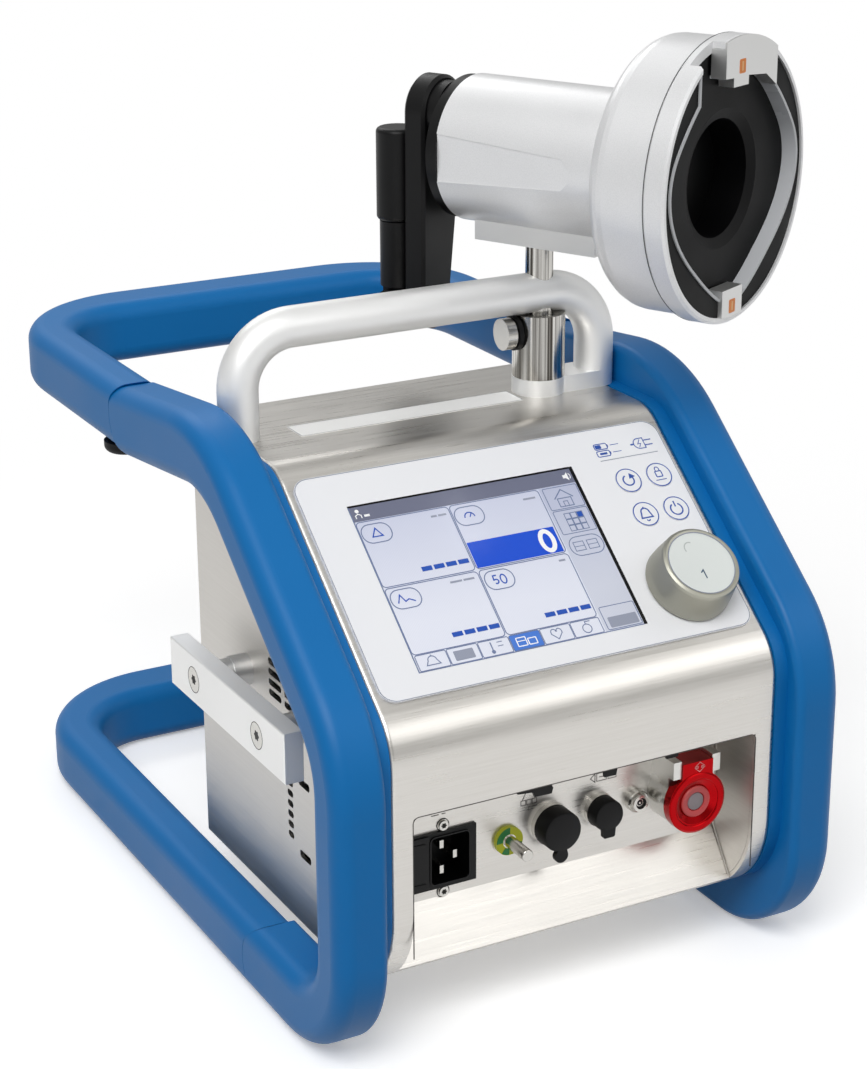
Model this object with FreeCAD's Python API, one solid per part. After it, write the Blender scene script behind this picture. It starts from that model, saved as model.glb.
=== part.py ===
import FreeCAD, Part
import math
import os
from FreeCAD import Vector as V

# Portable heart-lung support console with its hand-crank drive on the handle.
# Millimetres. X runs right as seen from the front, Y from the front face to the rear, Z up.
# The origin lies on the ground below the middle of the casing's front face.

os.makedirs("parts", exist_ok=True)

# Running clearances
SLIP = 0.05
SEAT = 0.2

# Casing: one folded sheet with side walls
CASE_HALF = 103.0
CASE_DEPTH = 210.0
CASE_BOTTOM = 25.0
CASE_TOP = 254.0
SHEET = 2.0
SLOPE = math.radians(39.0)
SLOPE_FOOT_Z = 161.2
TOP_BEND = 26.0
FRONT_BEND = 30.0
BOTTOM_BEND = 50.0
SIDE_EDGE = 2.5

# Bumpers and rear loops
GUARD_GAP = 6.5
GUARD_INNER = CASE_HALF + GUARD_GAP
GUARD_OUTER = GUARD_INNER + 25.5
GUARD_DEEP = 35.0
GUARD_SLIM = 7.0
GUARD_ROUND = 9.0
GUARD_INNER_ROUND = 4.0
GUARD_PROUD = 9.5
GUARD_FRONT_Y = -10.5
GUARD_TOP_BEND = 70.0
GUARD_FRONT_BEND = 50.0
GUARD_LOW_BEND = 42.0
LIP_DEEP = 24.0
SEAM_RADIUS = 21.0
SEAM_GAP = 0.4
UPPER_SEAM_Y = 219.0
UPPER_SEAM_Z = 252.0
LOWER_SEAM_Y = 75.0
PEAK_Y = 165.0
PEAK_Z = 255.7
LOOP_HIGH = 34.0
UPPER_LOOP_REAR_Y = 417.0
LOWER_LOOP_REAR_Y = 414.0
LOOP_REAR_DEEP = 36.0
LOOP_OUTER_BEND = 72.0
LOOP_INNER_BEND = 38.0
UPPER_LOOP_Z = 232.5
PAD_RADIUS = 11.0
PAD_HIGH = 6.0
PAD_Y = 252.0

# Carrying handle
HANDLE_X = CASE_HALF - 4.0
HANDLE_Y = 162.0
HANDLE_Z = CASE_TOP + 51.5
HANDLE_RADIUS = 10.0
HANDLE_BEND = 28.0
FOOT_RADIUS = 10.0
LEFT_FOOT_HIGH = 2.0
PLATE_HIGH = 8.6
PLATE_HALF = 13.5

# Post, holder and clamp screw
POST_X = 66.5
POST_RADIUS = 7.0
SPIGOT_RADIUS = 5.0
HOLDER_RADIUS = 13.3
CLAMP_Z = HANDLE_Z - 19.5
CLAMP_HEAD_RADIUS = 8.0
CLAMP_HEAD_LONG = 6.0
CLAMP_STUD_RADIUS = 3.0
WASHER_THICK = 2.4

# Hand-crank drive, measured along its own axis from the post
DRIVE_Z = HANDLE_Z + 68.5
DRIVE_TURN = math.radians(64.0)
BARREL_RADIUS = 36.3
BARREL_WALL = 3.0
BARREL_BACK = -38.0
DRUM_BACK = 64.0
DRUM_FRONT = 109.0
DRUM_RADIUS = 65.3
DRUM_RIM_RADIUS = 67.4
DRUM_WALL = 3.0
DRUM_SEAM = 98.0
LEDGE = DRUM_SEAM + 4.0
DRUM_ROUND = 11.0
FACE_RADIUS = 64.4
FACE_FRONT = 107.8
FACE_BACK = 79.0
BORE_RADIUS = 28.0
BORE_LIP = 98.5
BOWL_RADIUS = 33.0
NOTCH_LEFT = -35.0
NOTCH_LOW = 38.0
BORE_FLOOR = 81.0
LINER_THICK = 1.6
CAP_BACK = -44.0
SADDLE_HALF = 16.0
SADDLE_BACK = -28.0
SADDLE_FRONT = 42.0
SADDLE_DROP = 42.5
FLAT_DEPTH_BACK = 2.4
FLAT_DEPTH_FRONT = 1.1
FLAT_FRONT = 38.5

# Crank and grip, across and above the drive axis
HUB_ACROSS = -10.0
HUB_UP = 18.0
HUB_RADIUS = 18.0
ARM_INNER = -50.5
ARM_THICK = 12.5
TIP_ACROSS = -17.0
TIP_UP = -80.2
TIP_RADIUS = 11.5
GRIP_AXIAL = -74.4
GRIP_PIVOT_UP = -80.0
GRIP_RADIUS = 11.0
GRIP_LONG = 47.0
GRIP_BASE_RADIUS = 9.5
GRIP_BASE_TOP = -38.0
GRIP_ROD_RADIUS = 4.0

# Gear train, two steps up from the crank to the magnet rotor
GEAR_MODULE = 0.8
CRANK_TEETH = 28
PINION_TEETH = 12
LAY_TEETH = 32
GEAR_BACKLASH = 0.06
CENTRE_PLAY = 0.12
CRANK_SHAFT_RADIUS = 5.0
LAY_SHAFT_RADIUS = 2.5
ROTOR_SHAFT_RADIUS = 3.0
BEARING_WALL = 3.0
GEAR_PLATE_AT = -17.0
GEAR_PLATE_THICK = 4.0
ROTOR_DISC_RADIUS = 32.0
ROTOR_DISC_AT = 69.0
ROTOR_DISC_THICK = 7.0
MAGNET_RADIUS = 6.0
MAGNET_RING = 22.0
MAGNET_COUNT = 4

# Control panel, measured across and down from the middle of its top edge
PANEL_WIDE = 198.0
PANEL_TALL = 120.0
PANEL_TOP_Y = 107.3
PANEL_THICK = 1.2
PANEL_ROUND = 8.0
SCREEN_LEFT = -76.4
SCREEN_DOWN = 18.8
SCREEN_WIDE = 120.2
SCREEN_TALL = 89.6
KEY_RADIUS = 6.8
KEY_TRAVEL = 0.6
KEY_PLACES = {
    "key_start": (69.8, 32.1),
    "key_lock": (87.4, 32.0),
    "key_mute": (70.1, 51.9),
    "key_power": (87.5, 52.0),
}
KNOB_ACROSS = 73.5
KNOB_DOWN = 92.5
KNOB_BASE = 21.5
KNOB_TOP = 19.3
KNOB_HIGH = 20.0
KNOB_SHAFT = 3.0

# Connector bay let into the front
BAY_HALF = CASE_HALF - 11.0
BAY_TOP = 122.4
BAY_BACK = 32.0
BAY_FLOOR_BACK_Z = 61.0
BAY_FLOOR_FRONT_Y = 16.0
BAY_FLOOR_FRONT_Z = 38.3

# Equipment rail on the left side
RAIL_FACE = -CASE_HALF - 28.3
RAIL_THICK = 10.0
RAIL_TALL = 25.0
RAIL_FRONT_Y = 49.5
RAIL_LONG = 131.5
RAIL_Z = 139.5
SPACER_RADIUS = 8.0
RAIL_SCREW_Y = (79.3, 152.5)
RAIL_SCREW_RADIUS = 3.0
RAIL_HEAD_RADIUS = 6.5

# Fan behind the ring of vents in the left side
FAN_Y = 90.0
FAN_Z = 84.0

# Rear drive socket for the pump
REAR_SOCKET_Z = 140.0
REAR_SOCKET_RADIUS = 62.0
REAR_SOCKET_DEEP = 14.0
REAR_BORE_RADIUS = BORE_RADIUS


def block(xs, ys, zs):
    """A box between the low and high value of each axis."""
    return Part.makeBox(xs[1] - xs[0], ys[1] - ys[0], zs[1] - zs[0], V(xs[0], ys[0], zs[0]))


def rod(radius, start, end):
    """A cylinder from one point to another."""
    return Part.makeCylinder(radius, (end - start).Length, start, end - start)


def ring(outer, inner, start, end):
    return rod(outer, start, end).cut(rod(inner, start, end))


def joined(shapes):
    """One solid from overlapping or touching pieces."""
    return shapes[0].multiFuse(list(shapes[1:])).removeSplitter()


def mirrored(shape):
    return shape.mirror(V(0, 0, 0), V(1, 0, 0))


def export(node, *shapes):
    """Write one node, each piece as its own solid."""
    solids = [solid for shape in shapes for solid in shape.Solids]
    for solid in solids:
        if not solid.isValid():
            raise ValueError(node + " has a bad solid")
    Part.makeCompound(solids).exportStep("parts/" + node + ".step")


def unit(a, b):
    long = math.hypot(b[0] - a[0], b[1] - a[1])
    return (b[0] - a[0]) / long, (b[1] - a[1]) / long


def hexagon(radius, x, z, low, high):
    """A hexagon nut blank along Y."""
    corners = [V(x + radius * math.cos(math.pi / 3 * i), low, z + radius * math.sin(math.pi / 3 * i))
               for i in range(7)]
    return Part.Face(Part.makePolygon(corners)).extrude(V(0, high - low, 0))


def offset_path(points, distance):
    """Shift an open path of straight runs to its right by a distance."""
    shifted = []
    for a, b in zip(points, points[1:]):
        along = unit(a, b)
        step = (along[1] * distance, -along[0] * distance)
        shifted.append(((a[0] + step[0], a[1] + step[1]), along))
    result = [shifted[0][0]]
    for (a, u), (b, w) in zip(shifted, shifted[1:]):
        cross = u[0] * w[1] - u[1] * w[0]
        run = ((b[0] - a[0]) * w[1] - (b[1] - a[1]) * w[0]) / cross
        result.append((a[0] + u[0] * run, a[1] + u[1] * run))
    last, along = shifted[-1]
    end = points[-1]
    result.append((end[0] + along[1] * distance, end[1] - along[0] * distance))
    return result


def rounded_edges(points, radii, place):
    """Edges of an open path whose inner corners are arcs. place turns a flat point into space."""
    edges = []
    at = points[0]
    for before, corner, after, radius in zip(points, points[1:], points[2:], radii):
        u = unit(before, corner)
        w = unit(corner, after)
        turn = math.acos(max(-1.0, min(1.0, u[0] * w[0] + u[1] * w[1])))
        reach = radius * math.tan(turn / 2)
        start = (corner[0] - u[0] * reach, corner[1] - u[1] * reach)
        end = (corner[0] + w[0] * reach, corner[1] + w[1] * reach)
        inward = (w[0] - u[0], w[1] - u[1])
        size = math.hypot(*inward)
        sag = radius / math.cos(turn / 2) - radius
        middle = (corner[0] + inward[0] / size * sag, corner[1] + inward[1] / size * sag)
        edges.append(Part.makeLine(place(*at), place(*start)))
        edges.append(Part.Arc(place(*start), place(*middle), place(*end)).toShape())
        at = end
    edges.append(Part.makeLine(place(*at), place(*points[-1])))
    return edges


def band_face(outer, outer_radii, inner, inner_radii, place):
    """The face between two open rounded paths that run side by side."""
    edges = rounded_edges(outer, outer_radii, place)
    edges.append(Part.makeLine(place(*outer[-1]), place(*inner[-1])))
    edges += rounded_edges(inner[::-1], inner_radii[::-1], place)
    edges.append(Part.makeLine(place(*inner[0]), place(*outer[0])))
    return Part.Face(Part.Wire(Part.__sortEdges__(edges)))


def bent_bar(radius, points, bend):
    """A round bar along straight runs joined by tangent bends."""
    pieces = []
    at = points[0]
    for before, corner, after in zip(points, points[1:], points[2:]):
        along = (corner - before).normalize()
        ahead = (after - corner).normalize()
        turn = along.getAngle(ahead)
        reach = bend * math.tan(turn / 2)
        start = corner - along * reach
        axis = along.cross(ahead).normalize()
        centre = start + axis.cross(along) * bend
        pieces.append(rod(radius, at, start))
        section = Part.Face(Part.Wire(Part.makeCircle(radius, start, along)))
        pieces.append(section.revolve(centre, axis, math.degrees(turn)))
        at = corner + ahead * reach
    pieces.append(rod(radius, at, points[-1]))
    return joined(pieces)


def closed_face(points, place):
    corners = [place(*p) for p in points]
    return Part.Face(Part.makePolygon(corners + corners[:1]))


def at_side(x):
    """Flat points are (y, z) on the plane at this x."""
    return lambda y, z: V(x, y, z)


def rounded_plate(wide, tall, thick, radius):
    """A plate with round corners, its middle at the origin and its back on Z 0."""
    plate = Part.makeBox(wide, tall, thick, V(-wide / 2, -tall / 2, 0))
    upright = [e for e in plate.Edges if abs(e.Vertexes[0].X - e.Vertexes[1].X) < 0.001
               and abs(e.Vertexes[0].Y - e.Vertexes[1].Y) < 0.001]
    return plate.makeFillet(radius, upright)


def cornered_plate(long, wide, thick, corner):
    """A plate with cut corners, centred, its back on Z 0."""
    half = long / 2
    tall = wide / 2
    quarter = [(half, tall - corner), (half - corner, tall)]
    points = quarter + [(-x, y) for x, y in quarter[::-1]]
    points += [(-x, -y) for x, y in points]
    corners = [V(x, y, 0) for x, y in points]
    return Part.Face(Part.makePolygon(corners + corners[:1])).extrude(V(0, 0, thick))


# Casing profile in the (y, z) plane, from the rear top forward, down and back along the bottom
SLOPE_TOP_Y = (CASE_TOP - SLOPE_FOOT_Z) / math.tan(SLOPE)
CASE_PATH = [
    (CASE_DEPTH, CASE_TOP),
    (SLOPE_TOP_Y, CASE_TOP),
    (0.0, SLOPE_FOOT_Z),
    (0.0, CASE_BOTTOM),
    (CASE_DEPTH, CASE_BOTTOM),
]
CASE_BENDS = [TOP_BEND, FRONT_BEND, BOTTOM_BEND]


def case_outline(inset, x):
    """The casing's closed profile, set in from the sheet's outer face."""
    path = offset_path(CASE_PATH, -inset)
    edges = rounded_edges(path, [bend - inset for bend in CASE_BENDS], at_side(x))
    edges.append(Part.makeLine(V(x, *path[-1]), V(x, *path[0])))
    return Part.Face(Part.Wire(Part.__sortEdges__(edges)))


# The panel's own frame: across, up the slope, and out of its face
PANEL_TOP_Z = SLOPE_FOOT_Z + PANEL_TOP_Y * math.tan(SLOPE)
PANEL_UP = V(0, math.cos(SLOPE), math.sin(SLOPE))
PANEL_OUT = V(0, -math.sin(SLOPE), math.cos(SLOPE))


def on_panel(shape, across, down, out):
    """Place a shape whose Z is the panel's normal and whose Y runs up the slope."""
    corner = V(across, PANEL_TOP_Y, PANEL_TOP_Z) - PANEL_UP * down + PANEL_OUT * out
    turn = FreeCAD.Rotation(V(1, 0, 0), math.degrees(SLOPE))
    placed = shape.copy()
    placed.Placement = FreeCAD.Placement(corner, turn).multiply(placed.Placement)
    return placed


# The drive's own frame: X across, Y up, Z along the axis towards the drum
DRIVE_AXIS = V(math.cos(DRIVE_TURN), -math.sin(DRIVE_TURN), 0)
DRIVE_ACROSS = V(math.sin(DRIVE_TURN), math.cos(DRIVE_TURN), 0)
DRIVE_PLACE = FreeCAD.Placement(FreeCAD.Matrix(
    DRIVE_ACROSS.x, 0, DRIVE_AXIS.x, POST_X,
    DRIVE_ACROSS.y, 0, DRIVE_AXIS.y, HANDLE_Y,
    0, 1, 0, DRIVE_Z,
    0, 0, 0, 1))


def in_drive(shape):
    placed = shape.copy()
    placed.Placement = DRIVE_PLACE.multiply(placed.Placement)
    return placed


def disc(radius, across, up, low, high):
    """A cylinder along the drive axis."""
    return Part.makeCylinder(radius, high - low, V(across, up, low))


def turned(profile):
    """Revolve (radius, axial) points about the drive axis."""
    points = [V(r, 0, s) for r, s in profile]
    return Part.Face(Part.makePolygon(points + points[:1])).revolve(V(0, 0, 0), V(0, 0, 1), 360)


# Casing, with its display window, key holes, bay opening, vents and fastening holes
def vent_slots():
    """Rows of horizontal slots above a ring of short ones, in the side wall."""
    slot_wide = 4.0
    slot_tall = 3.4
    slot_corner = 1.0
    row_long = 14.0
    row_ys = (102.5, 120.0)
    row_low_z = 137.5
    row_step = 5.4
    row_count = 5
    ring_y = FAN_Y
    ring_z = FAN_Z
    ring_half_y = 15.6
    ring_half_z = 19.2
    ring_long = 12.0
    short = 6.0
    short_step = 5.5
    short_count = 6
    rows = [(y, row_low_z + row_step * row) for y in row_ys for row in range(row_count)]
    cutters = [(y, z, row_long, slot_tall) for y, z in rows]
    for side in (-1, 1):
        cutters.append((ring_y, ring_z + side * ring_half_z, ring_long, slot_wide))
        for i in range(short_count):
            z = ring_z + short_step * (i - (short_count - 1) / 2)
            cutters.append((ring_y + side * ring_half_y, z, short, slot_tall))
    result = []
    for y, z, long, tall in cutters:
        slot = cornered_plate(long, tall, SHEET * 3, slot_corner)
        slot.Placement = FreeCAD.Placement(
            V(-CASE_HALF - SHEET, y, z), FreeCAD.Rotation(V(0, 1, 0), V(0, 0, 1), V(1, 0, 0), "ZXY"))
        result.append(slot)
    return result


def casing_shell():
    outer = case_outline(0, -CASE_HALF).extrude(V(2 * CASE_HALF, 0, 0))
    rims = [e for e in outer.Edges
            if all(abs(abs(v.X) - CASE_HALF) < 0.001 for v in e.Vertexes)
            and abs(e.Vertexes[0].X - e.Vertexes[-1].X) < 0.001
            and not all(abs(v.Y - CASE_DEPTH) < 0.001 for v in e.Vertexes)]
    outer = outer.makeFillet(SIDE_EDGE, rims)
    inner_half = CASE_HALF - SHEET
    inner = case_outline(SHEET, -inner_half).extrude(V(2 * inner_half, 0, 0))
    inner = inner.fuse(block((-inner_half, inner_half), (CASE_DEPTH - 40, CASE_DEPTH + 1),
                             (CASE_BOTTOM + SHEET, CASE_TOP - SHEET))).removeSplitter()
    shell = outer.cut(inner)
    window = Part.makeBox(SCREEN_WIDE - 8, SCREEN_TALL - 8, 12)
    cutters = [on_panel(window, SCREEN_LEFT + 4, SCREEN_DOWN + SCREEN_TALL - 4, -6)]
    for across, down in KEY_PLACES.values():
        cutters.append(on_panel(Part.makeCylinder(KEY_RADIUS + SEAT, 12), across, down, -6))
    cutters.append(on_panel(Part.makeCylinder(KNOB_SHAFT + 1.5, 12), KNOB_ACROSS, KNOB_DOWN, -6))
    cutters.append(block((-BAY_HALF, BAY_HALF), (-5, BAY_BACK + 8), (BAY_FLOOR_FRONT_Z, BAY_TOP)))
    slots = vent_slots()
    cutters += slots + [mirrored(slot) for slot in slots]
    for y in RAIL_SCREW_Y:
        cutters.append(rod(RAIL_SCREW_RADIUS + SEAT, V(-CASE_HALF - 1, y, RAIL_Z),
                           V(-CASE_HALF + SHEET + 1, y, RAIL_Z)))
    return shell.cut(Part.makeCompound(cutters))


export("casing_shell", casing_shell())


# Rear cover with the round opening for the drive socket
COVER_THICK = 2.5
inner_half = CASE_HALF - SHEET - SEAT
rear_cover = block((-inner_half, inner_half), (CASE_DEPTH - COVER_THICK, CASE_DEPTH),
                   (CASE_BOTTOM + SHEET + SEAT, CASE_TOP - SHEET - SEAT))
rear_cover = rear_cover.cut(rod(REAR_SOCKET_RADIUS - 4, V(0, CASE_DEPTH - 9, REAR_SOCKET_Z),
                                V(0, CASE_DEPTH + 1, REAR_SOCKET_Z)))
export("rear_cover", rear_cover)


# Connector bay: a folded tray that hangs behind the opening in the front
def bay_profile(inset, x):
    """The bay's hollow in the (y, z) plane, grown by an inset."""
    return closed_face([
        (SHEET + SEAT, BAY_TOP + inset),
        (BAY_BACK + inset, BAY_TOP + inset),
        (BAY_BACK + inset, BAY_FLOOR_BACK_Z - inset * 0.3),
        (BAY_FLOOR_FRONT_Y + inset * 1.1, BAY_FLOOR_FRONT_Z),
        (SHEET + SEAT, BAY_FLOOR_FRONT_Z),
    ], at_side(x))


EARTH_X = -25.5
EARTH_Z = 81.5
LARGE_X = -2.0
LARGE_Z = 84.5
SMALL_X = 25.0
SMALL_Z = 85.5
ROUND_X = 45.5
ROUND_Z = 85.5
PUMP_X = 68.0
PUMP_Z = 87.0
INLET_XS = (-82.0, -43.0)
INLET_ZS = (66.0, 95.0)
EARTH_RADIUS = 3.0
EARTH_SHANK = 3.5
LARGE_RADIUS = 10.5
SMALL_RADIUS = 8.3
ROUND_RADIUS = 5.8
PUMP_RADIUS = 15.5
SOCKET_NECK = 1.5


def bay_tray():
    tray = bay_profile(SHEET, -BAY_HALF - SHEET).extrude(V(2 * (BAY_HALF + SHEET), 0, 0))
    tray = tray.cut(bay_profile(0, -BAY_HALF).extrude(V(2 * BAY_HALF, 0, 0)))
    low_half = CASE_HALF - SHEET - SEAT
    behind = tray.common(case_outline(SHEET + SEAT, -low_half).extrude(V(2 * low_half, 0, 0)))
    mouth_half = BAY_HALF - SLIP
    mouth = case_outline(SLIP, -mouth_half).extrude(V(2 * mouth_half, 0, 0))
    floor_lip = block((-mouth_half, mouth_half), (0, BAY_BACK), (BAY_FLOOR_FRONT_Z + SLIP, BAY_FLOOR_BACK_Z))
    tray = joined([behind, tray.common(mouth).common(floor_lip)])
    back = [(EARTH_X, EARTH_Z, EARTH_SHANK), (LARGE_X, LARGE_Z, LARGE_RADIUS - SOCKET_NECK),
            (SMALL_X, SMALL_Z, SMALL_RADIUS - SOCKET_NECK),
            (ROUND_X, ROUND_Z, ROUND_RADIUS - SOCKET_NECK), (PUMP_X, PUMP_Z, PUMP_RADIUS - 4)]
    for x, z, radius in back:
        tray = tray.cut(rod(radius, V(x, BAY_BACK - 1, z), V(x, BAY_BACK + SHEET + 1, z)))
    inlet = block((INLET_XS[0] + 1.5, INLET_XS[1] - 1.5), (BAY_BACK - 1, BAY_BACK + SHEET + 1),
                  (INLET_ZS[0] + 1.5, INLET_ZS[1] - 1.5))
    return tray.cut(inlet)


export("connector_bay", bay_tray())


# Blue lips between the casing's sides and the bumpers, flush with the casing
def lip(x):
    path = [(PEAK_Y + 30, CASE_TOP)] + CASE_PATH[1:4] + [(60.0, CASE_BOTTOM)]
    inner = offset_path(path, -LIP_DEEP)
    face = band_face(path, CASE_BENDS, inner, [max(bend - LIP_DEEP, 4.0) for bend in CASE_BENDS],
                     at_side(x))
    return face.extrude(V(GUARD_INNER - CASE_HALF, 0, 0))


right_lip = lip(CASE_HALF)
export("side_lips", right_lip, mirrored(right_lip))


# Front bumpers: a rounded bar that follows the casing's side from the upper to the lower seam
GUARD_HALF = GUARD_DEEP / 2
GUARD_LINE_DROP = (GUARD_HALF - GUARD_PROUD) / math.cos(SLOPE)
FRONT_LINE_Y = GUARD_FRONT_Y + GUARD_HALF
TOP_FALL = (PEAK_Z - (UPPER_LOOP_Z + LOOP_HIGH / 2)) / (UPPER_SEAM_Y - PEAK_Y)
RISE = math.tan(SLOPE)
PEAK_CORNER_Y = ((PEAK_Z + TOP_FALL * PEAK_Y - SLOPE_FOOT_Z + GUARD_LINE_DROP)
                 / (RISE + TOP_FALL))


def slope_line(y):
    return SLOPE_FOOT_Z - GUARD_LINE_DROP + RISE * y


def top_line(y):
    return PEAK_Z + TOP_FALL * (PEAK_Y - y)


def guard_path(slim):
    """The bar's middle line, its slope and front run moved out where the bar is slimmer."""
    raised = slim / math.cos(SLOPE)
    front_y = FRONT_LINE_Y - slim
    peak_y = PEAK_CORNER_Y - raised / (RISE + TOP_FALL)
    return [
        (UPPER_SEAM_Y + 30, top_line(UPPER_SEAM_Y + 30)),
        (peak_y, slope_line(peak_y) + raised),
        (front_y, slope_line(front_y) + raised),
        (front_y, GUARD_HALF),
        (LOWER_SEAM_Y + 30, GUARD_HALF),
    ]


def front_bumper():
    bends = [GUARD_TOP_BEND, GUARD_FRONT_BEND, GUARD_LOW_BEND]
    face = band_face(offset_path(guard_path(0), GUARD_HALF), [bend + GUARD_HALF for bend in bends],
                     offset_path(guard_path(GUARD_SLIM), -GUARD_HALF),
                     [bend - GUARD_HALF for bend in bends], at_side(GUARD_INNER))
    bar = face.extrude(V(GUARD_OUTER - GUARD_INNER, 0, 0))
    long_edges = [e for e in bar.Edges
                  if abs(e.Vertexes[0].X - e.Vertexes[-1].X) < 0.001
                  and abs(e.Length - GUARD_DEEP) > 0.01]
    outer_edges = [e for e in long_edges if abs(e.Vertexes[0].X - GUARD_OUTER) < 0.001]
    inner_edges = [e for e in long_edges if abs(e.Vertexes[0].X - GUARD_INNER) < 0.001]
    bar = bar.makeFillet(GUARD_ROUND, outer_edges)
    inner_edges = [e for e in bar.Edges
                   if abs(e.Vertexes[0].X - GUARD_INNER) < 0.001
                   and abs(e.Vertexes[-1].X - GUARD_INNER) < 0.001
                   and abs(e.Length - GUARD_DEEP) > 0.01]
    bar = bar.makeFillet(GUARD_INNER_ROUND, inner_edges)
    for y, z in ((UPPER_SEAM_Y, UPPER_SEAM_Z), (LOWER_SEAM_Y, GUARD_HALF)):
        beyond = block((GUARD_INNER - 1, GUARD_OUTER + 1), (y, y + 60), (z - 60, z + 60))
        round_end = rod(SEAM_RADIUS, V(GUARD_INNER - 2, y, z), V(GUARD_OUTER + 2, y, z))
        bar = bar.cut(beyond.cut(round_end))
    return bar


right_bumper = front_bumper()
export("right_bumper", right_bumper)
export("left_bumper", mirrored(right_bumper))


# Rear loops: bars round the back that protect what is fixed to the rear socket
def rear_loop(seam_y, seam_z, low, rear_y):
    start = seam_y - 5
    inner_y = rear_y - LOOP_REAR_DEEP
    outer = [(GUARD_OUTER, start), (GUARD_OUTER, rear_y),
             (-GUARD_OUTER, rear_y), (-GUARD_OUTER, start)]
    inner = [(GUARD_INNER, start), (GUARD_INNER, inner_y),
             (-GUARD_INNER, inner_y), (-GUARD_INNER, start)]
    face = band_face(outer, [LOOP_OUTER_BEND] * 2, inner, [LOOP_INNER_BEND] * 2,
                     lambda x, y: V(x, y, low))
    loop = face.extrude(V(0, 0, LOOP_HIGH))
    arm_wide = GUARD_OUTER - GUARD_INNER
    long_edges = [e for e in loop.Edges
                  if abs(e.Vertexes[0].Z - e.Vertexes[-1].Z) < 0.001
                  and not (abs(e.Length - arm_wide) < 0.01
                           and abs(e.Vertexes[0].Y - start) < 0.001)]
    loop = loop.makeFillet(GUARD_ROUND, long_edges)
    across = GUARD_OUTER + 1
    socket = rod(SEAM_RADIUS + SEAM_GAP, V(-across, seam_y, seam_z), V(across, seam_y, seam_z))
    ahead = block((-across, across), (start - 1, seam_y), (seam_z - 60, seam_z + 60))
    return loop.cut(socket).cut(ahead)


export("upper_loop", rear_loop(UPPER_SEAM_Y, UPPER_SEAM_Z, UPPER_LOOP_Z, UPPER_LOOP_REAR_Y))
export("lower_loop", rear_loop(LOWER_SEAM_Y, GUARD_HALF, 0.0, LOWER_LOOP_REAR_Y))


# Rubber pads under the arms of the upper loop
GUARD_MIDDLE = (GUARD_INNER + GUARD_OUTER) / 2


def loop_pad(x):
    pad = Part.makeCylinder(PAD_RADIUS, PAD_HIGH, V(x, PAD_Y, UPPER_LOOP_Z - PAD_HIGH))
    low = [e for e in pad.Edges if abs(e.Vertexes[0].Z - (UPPER_LOOP_Z - PAD_HIGH)) < 0.001
           and e.Curve.TypeId == "Part::GeomCircle"]
    return pad.makeFillet(PAD_HIGH * 0.6, low)


export("loop_pads", loop_pad(GUARD_MIDDLE), loop_pad(-GUARD_MIDDLE))


# Handle: one bent bar with a cross hole for the post
HANDLE_PATH = [V(-HANDLE_X, HANDLE_Y, CASE_TOP + LEFT_FOOT_HIGH), V(-HANDLE_X, HANDLE_Y, HANDLE_Z),
               V(HANDLE_X, HANDLE_Y, HANDLE_Z), V(HANDLE_X, HANDLE_Y, CASE_TOP + PLATE_HIGH)]


def handle_tube():
    tube = bent_bar(HANDLE_RADIUS, HANDLE_PATH, HANDLE_BEND)
    return tube.cut(rod(POST_RADIUS + SLIP, V(POST_X, HANDLE_Y, HANDLE_Z - 20),
                        V(POST_X, HANDLE_Y, HANDLE_Z + 20)))


export("handle_tube", handle_tube())


# Feet: a thin ring under the left leg, a plate under the right leg that also carries the holder
def handle_feet():
    left = Part.makeCylinder(FOOT_RADIUS, LEFT_FOOT_HIGH, V(-HANDLE_X, HANDLE_Y, CASE_TOP))
    ends = [Part.makeCylinder(PLATE_HALF, PLATE_HIGH, V(POST_X, HANDLE_Y, CASE_TOP)),
            Part.makeCylinder(FOOT_RADIUS, PLATE_HIGH, V(HANDLE_X, HANDLE_Y, CASE_TOP))]
    bridge = block((POST_X, HANDLE_X), (HANDLE_Y - FOOT_RADIUS, HANDLE_Y + FOOT_RADIUS),
                   (CASE_TOP, CASE_TOP + PLATE_HIGH))
    return left, joined(ends + [bridge])


export("handle_feet", *handle_feet())


# Holder: a round socket between plate and handle, cross-drilled for the clamp screw
HOLDER_LOW = CASE_TOP + PLATE_HIGH
HOLDER_TOP = HANDLE_Z - HANDLE_RADIUS - 0.3


def post_point(z):
    return V(POST_X, HANDLE_Y, z)


holder = rod(HOLDER_RADIUS, post_point(HOLDER_LOW), post_point(HOLDER_TOP))
holder = holder.cut(rod(POST_RADIUS + SLIP, post_point(HOLDER_LOW + 4), post_point(HOLDER_TOP + 1)))
holder = holder.cut(rod(CLAMP_STUD_RADIUS + SLIP, V(POST_X - HOLDER_RADIUS - 1, HANDLE_Y, CLAMP_Z),
                        V(POST_X, HANDLE_Y, CLAMP_Z)))
holder = holder.cut(bent_bar(HANDLE_RADIUS + SEAT, HANDLE_PATH, HANDLE_BEND))
export("drive_holder", holder)


# Clamp screw with its black washer
head_inner = POST_X - HOLDER_RADIUS - WASHER_THICK
head_outer = head_inner - CLAMP_HEAD_LONG


def clamp_point(x):
    return V(x, HANDLE_Y, CLAMP_Z)


clamp_head = rod(CLAMP_HEAD_RADIUS, clamp_point(head_inner - SLIP), clamp_point(head_outer))
clamp_head = clamp_head.makeChamfer(0.8, clamp_head.Edges[2:3])
clamp_stud = rod(CLAMP_STUD_RADIUS, clamp_point(head_inner - 1),
                 clamp_point(POST_X - POST_RADIUS - SEAT))
export("clamp_screw", joined([clamp_head, clamp_stud]))
export("clamp_washer", ring(CLAMP_HEAD_RADIUS + 0.8, CLAMP_STUD_RADIUS + SEAT,
                            clamp_point(head_inner), clamp_point(head_inner + WASHER_THICK))
       .cut(rod(HOLDER_RADIUS, post_point(HOLDER_LOW), post_point(HOLDER_TOP))))


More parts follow.
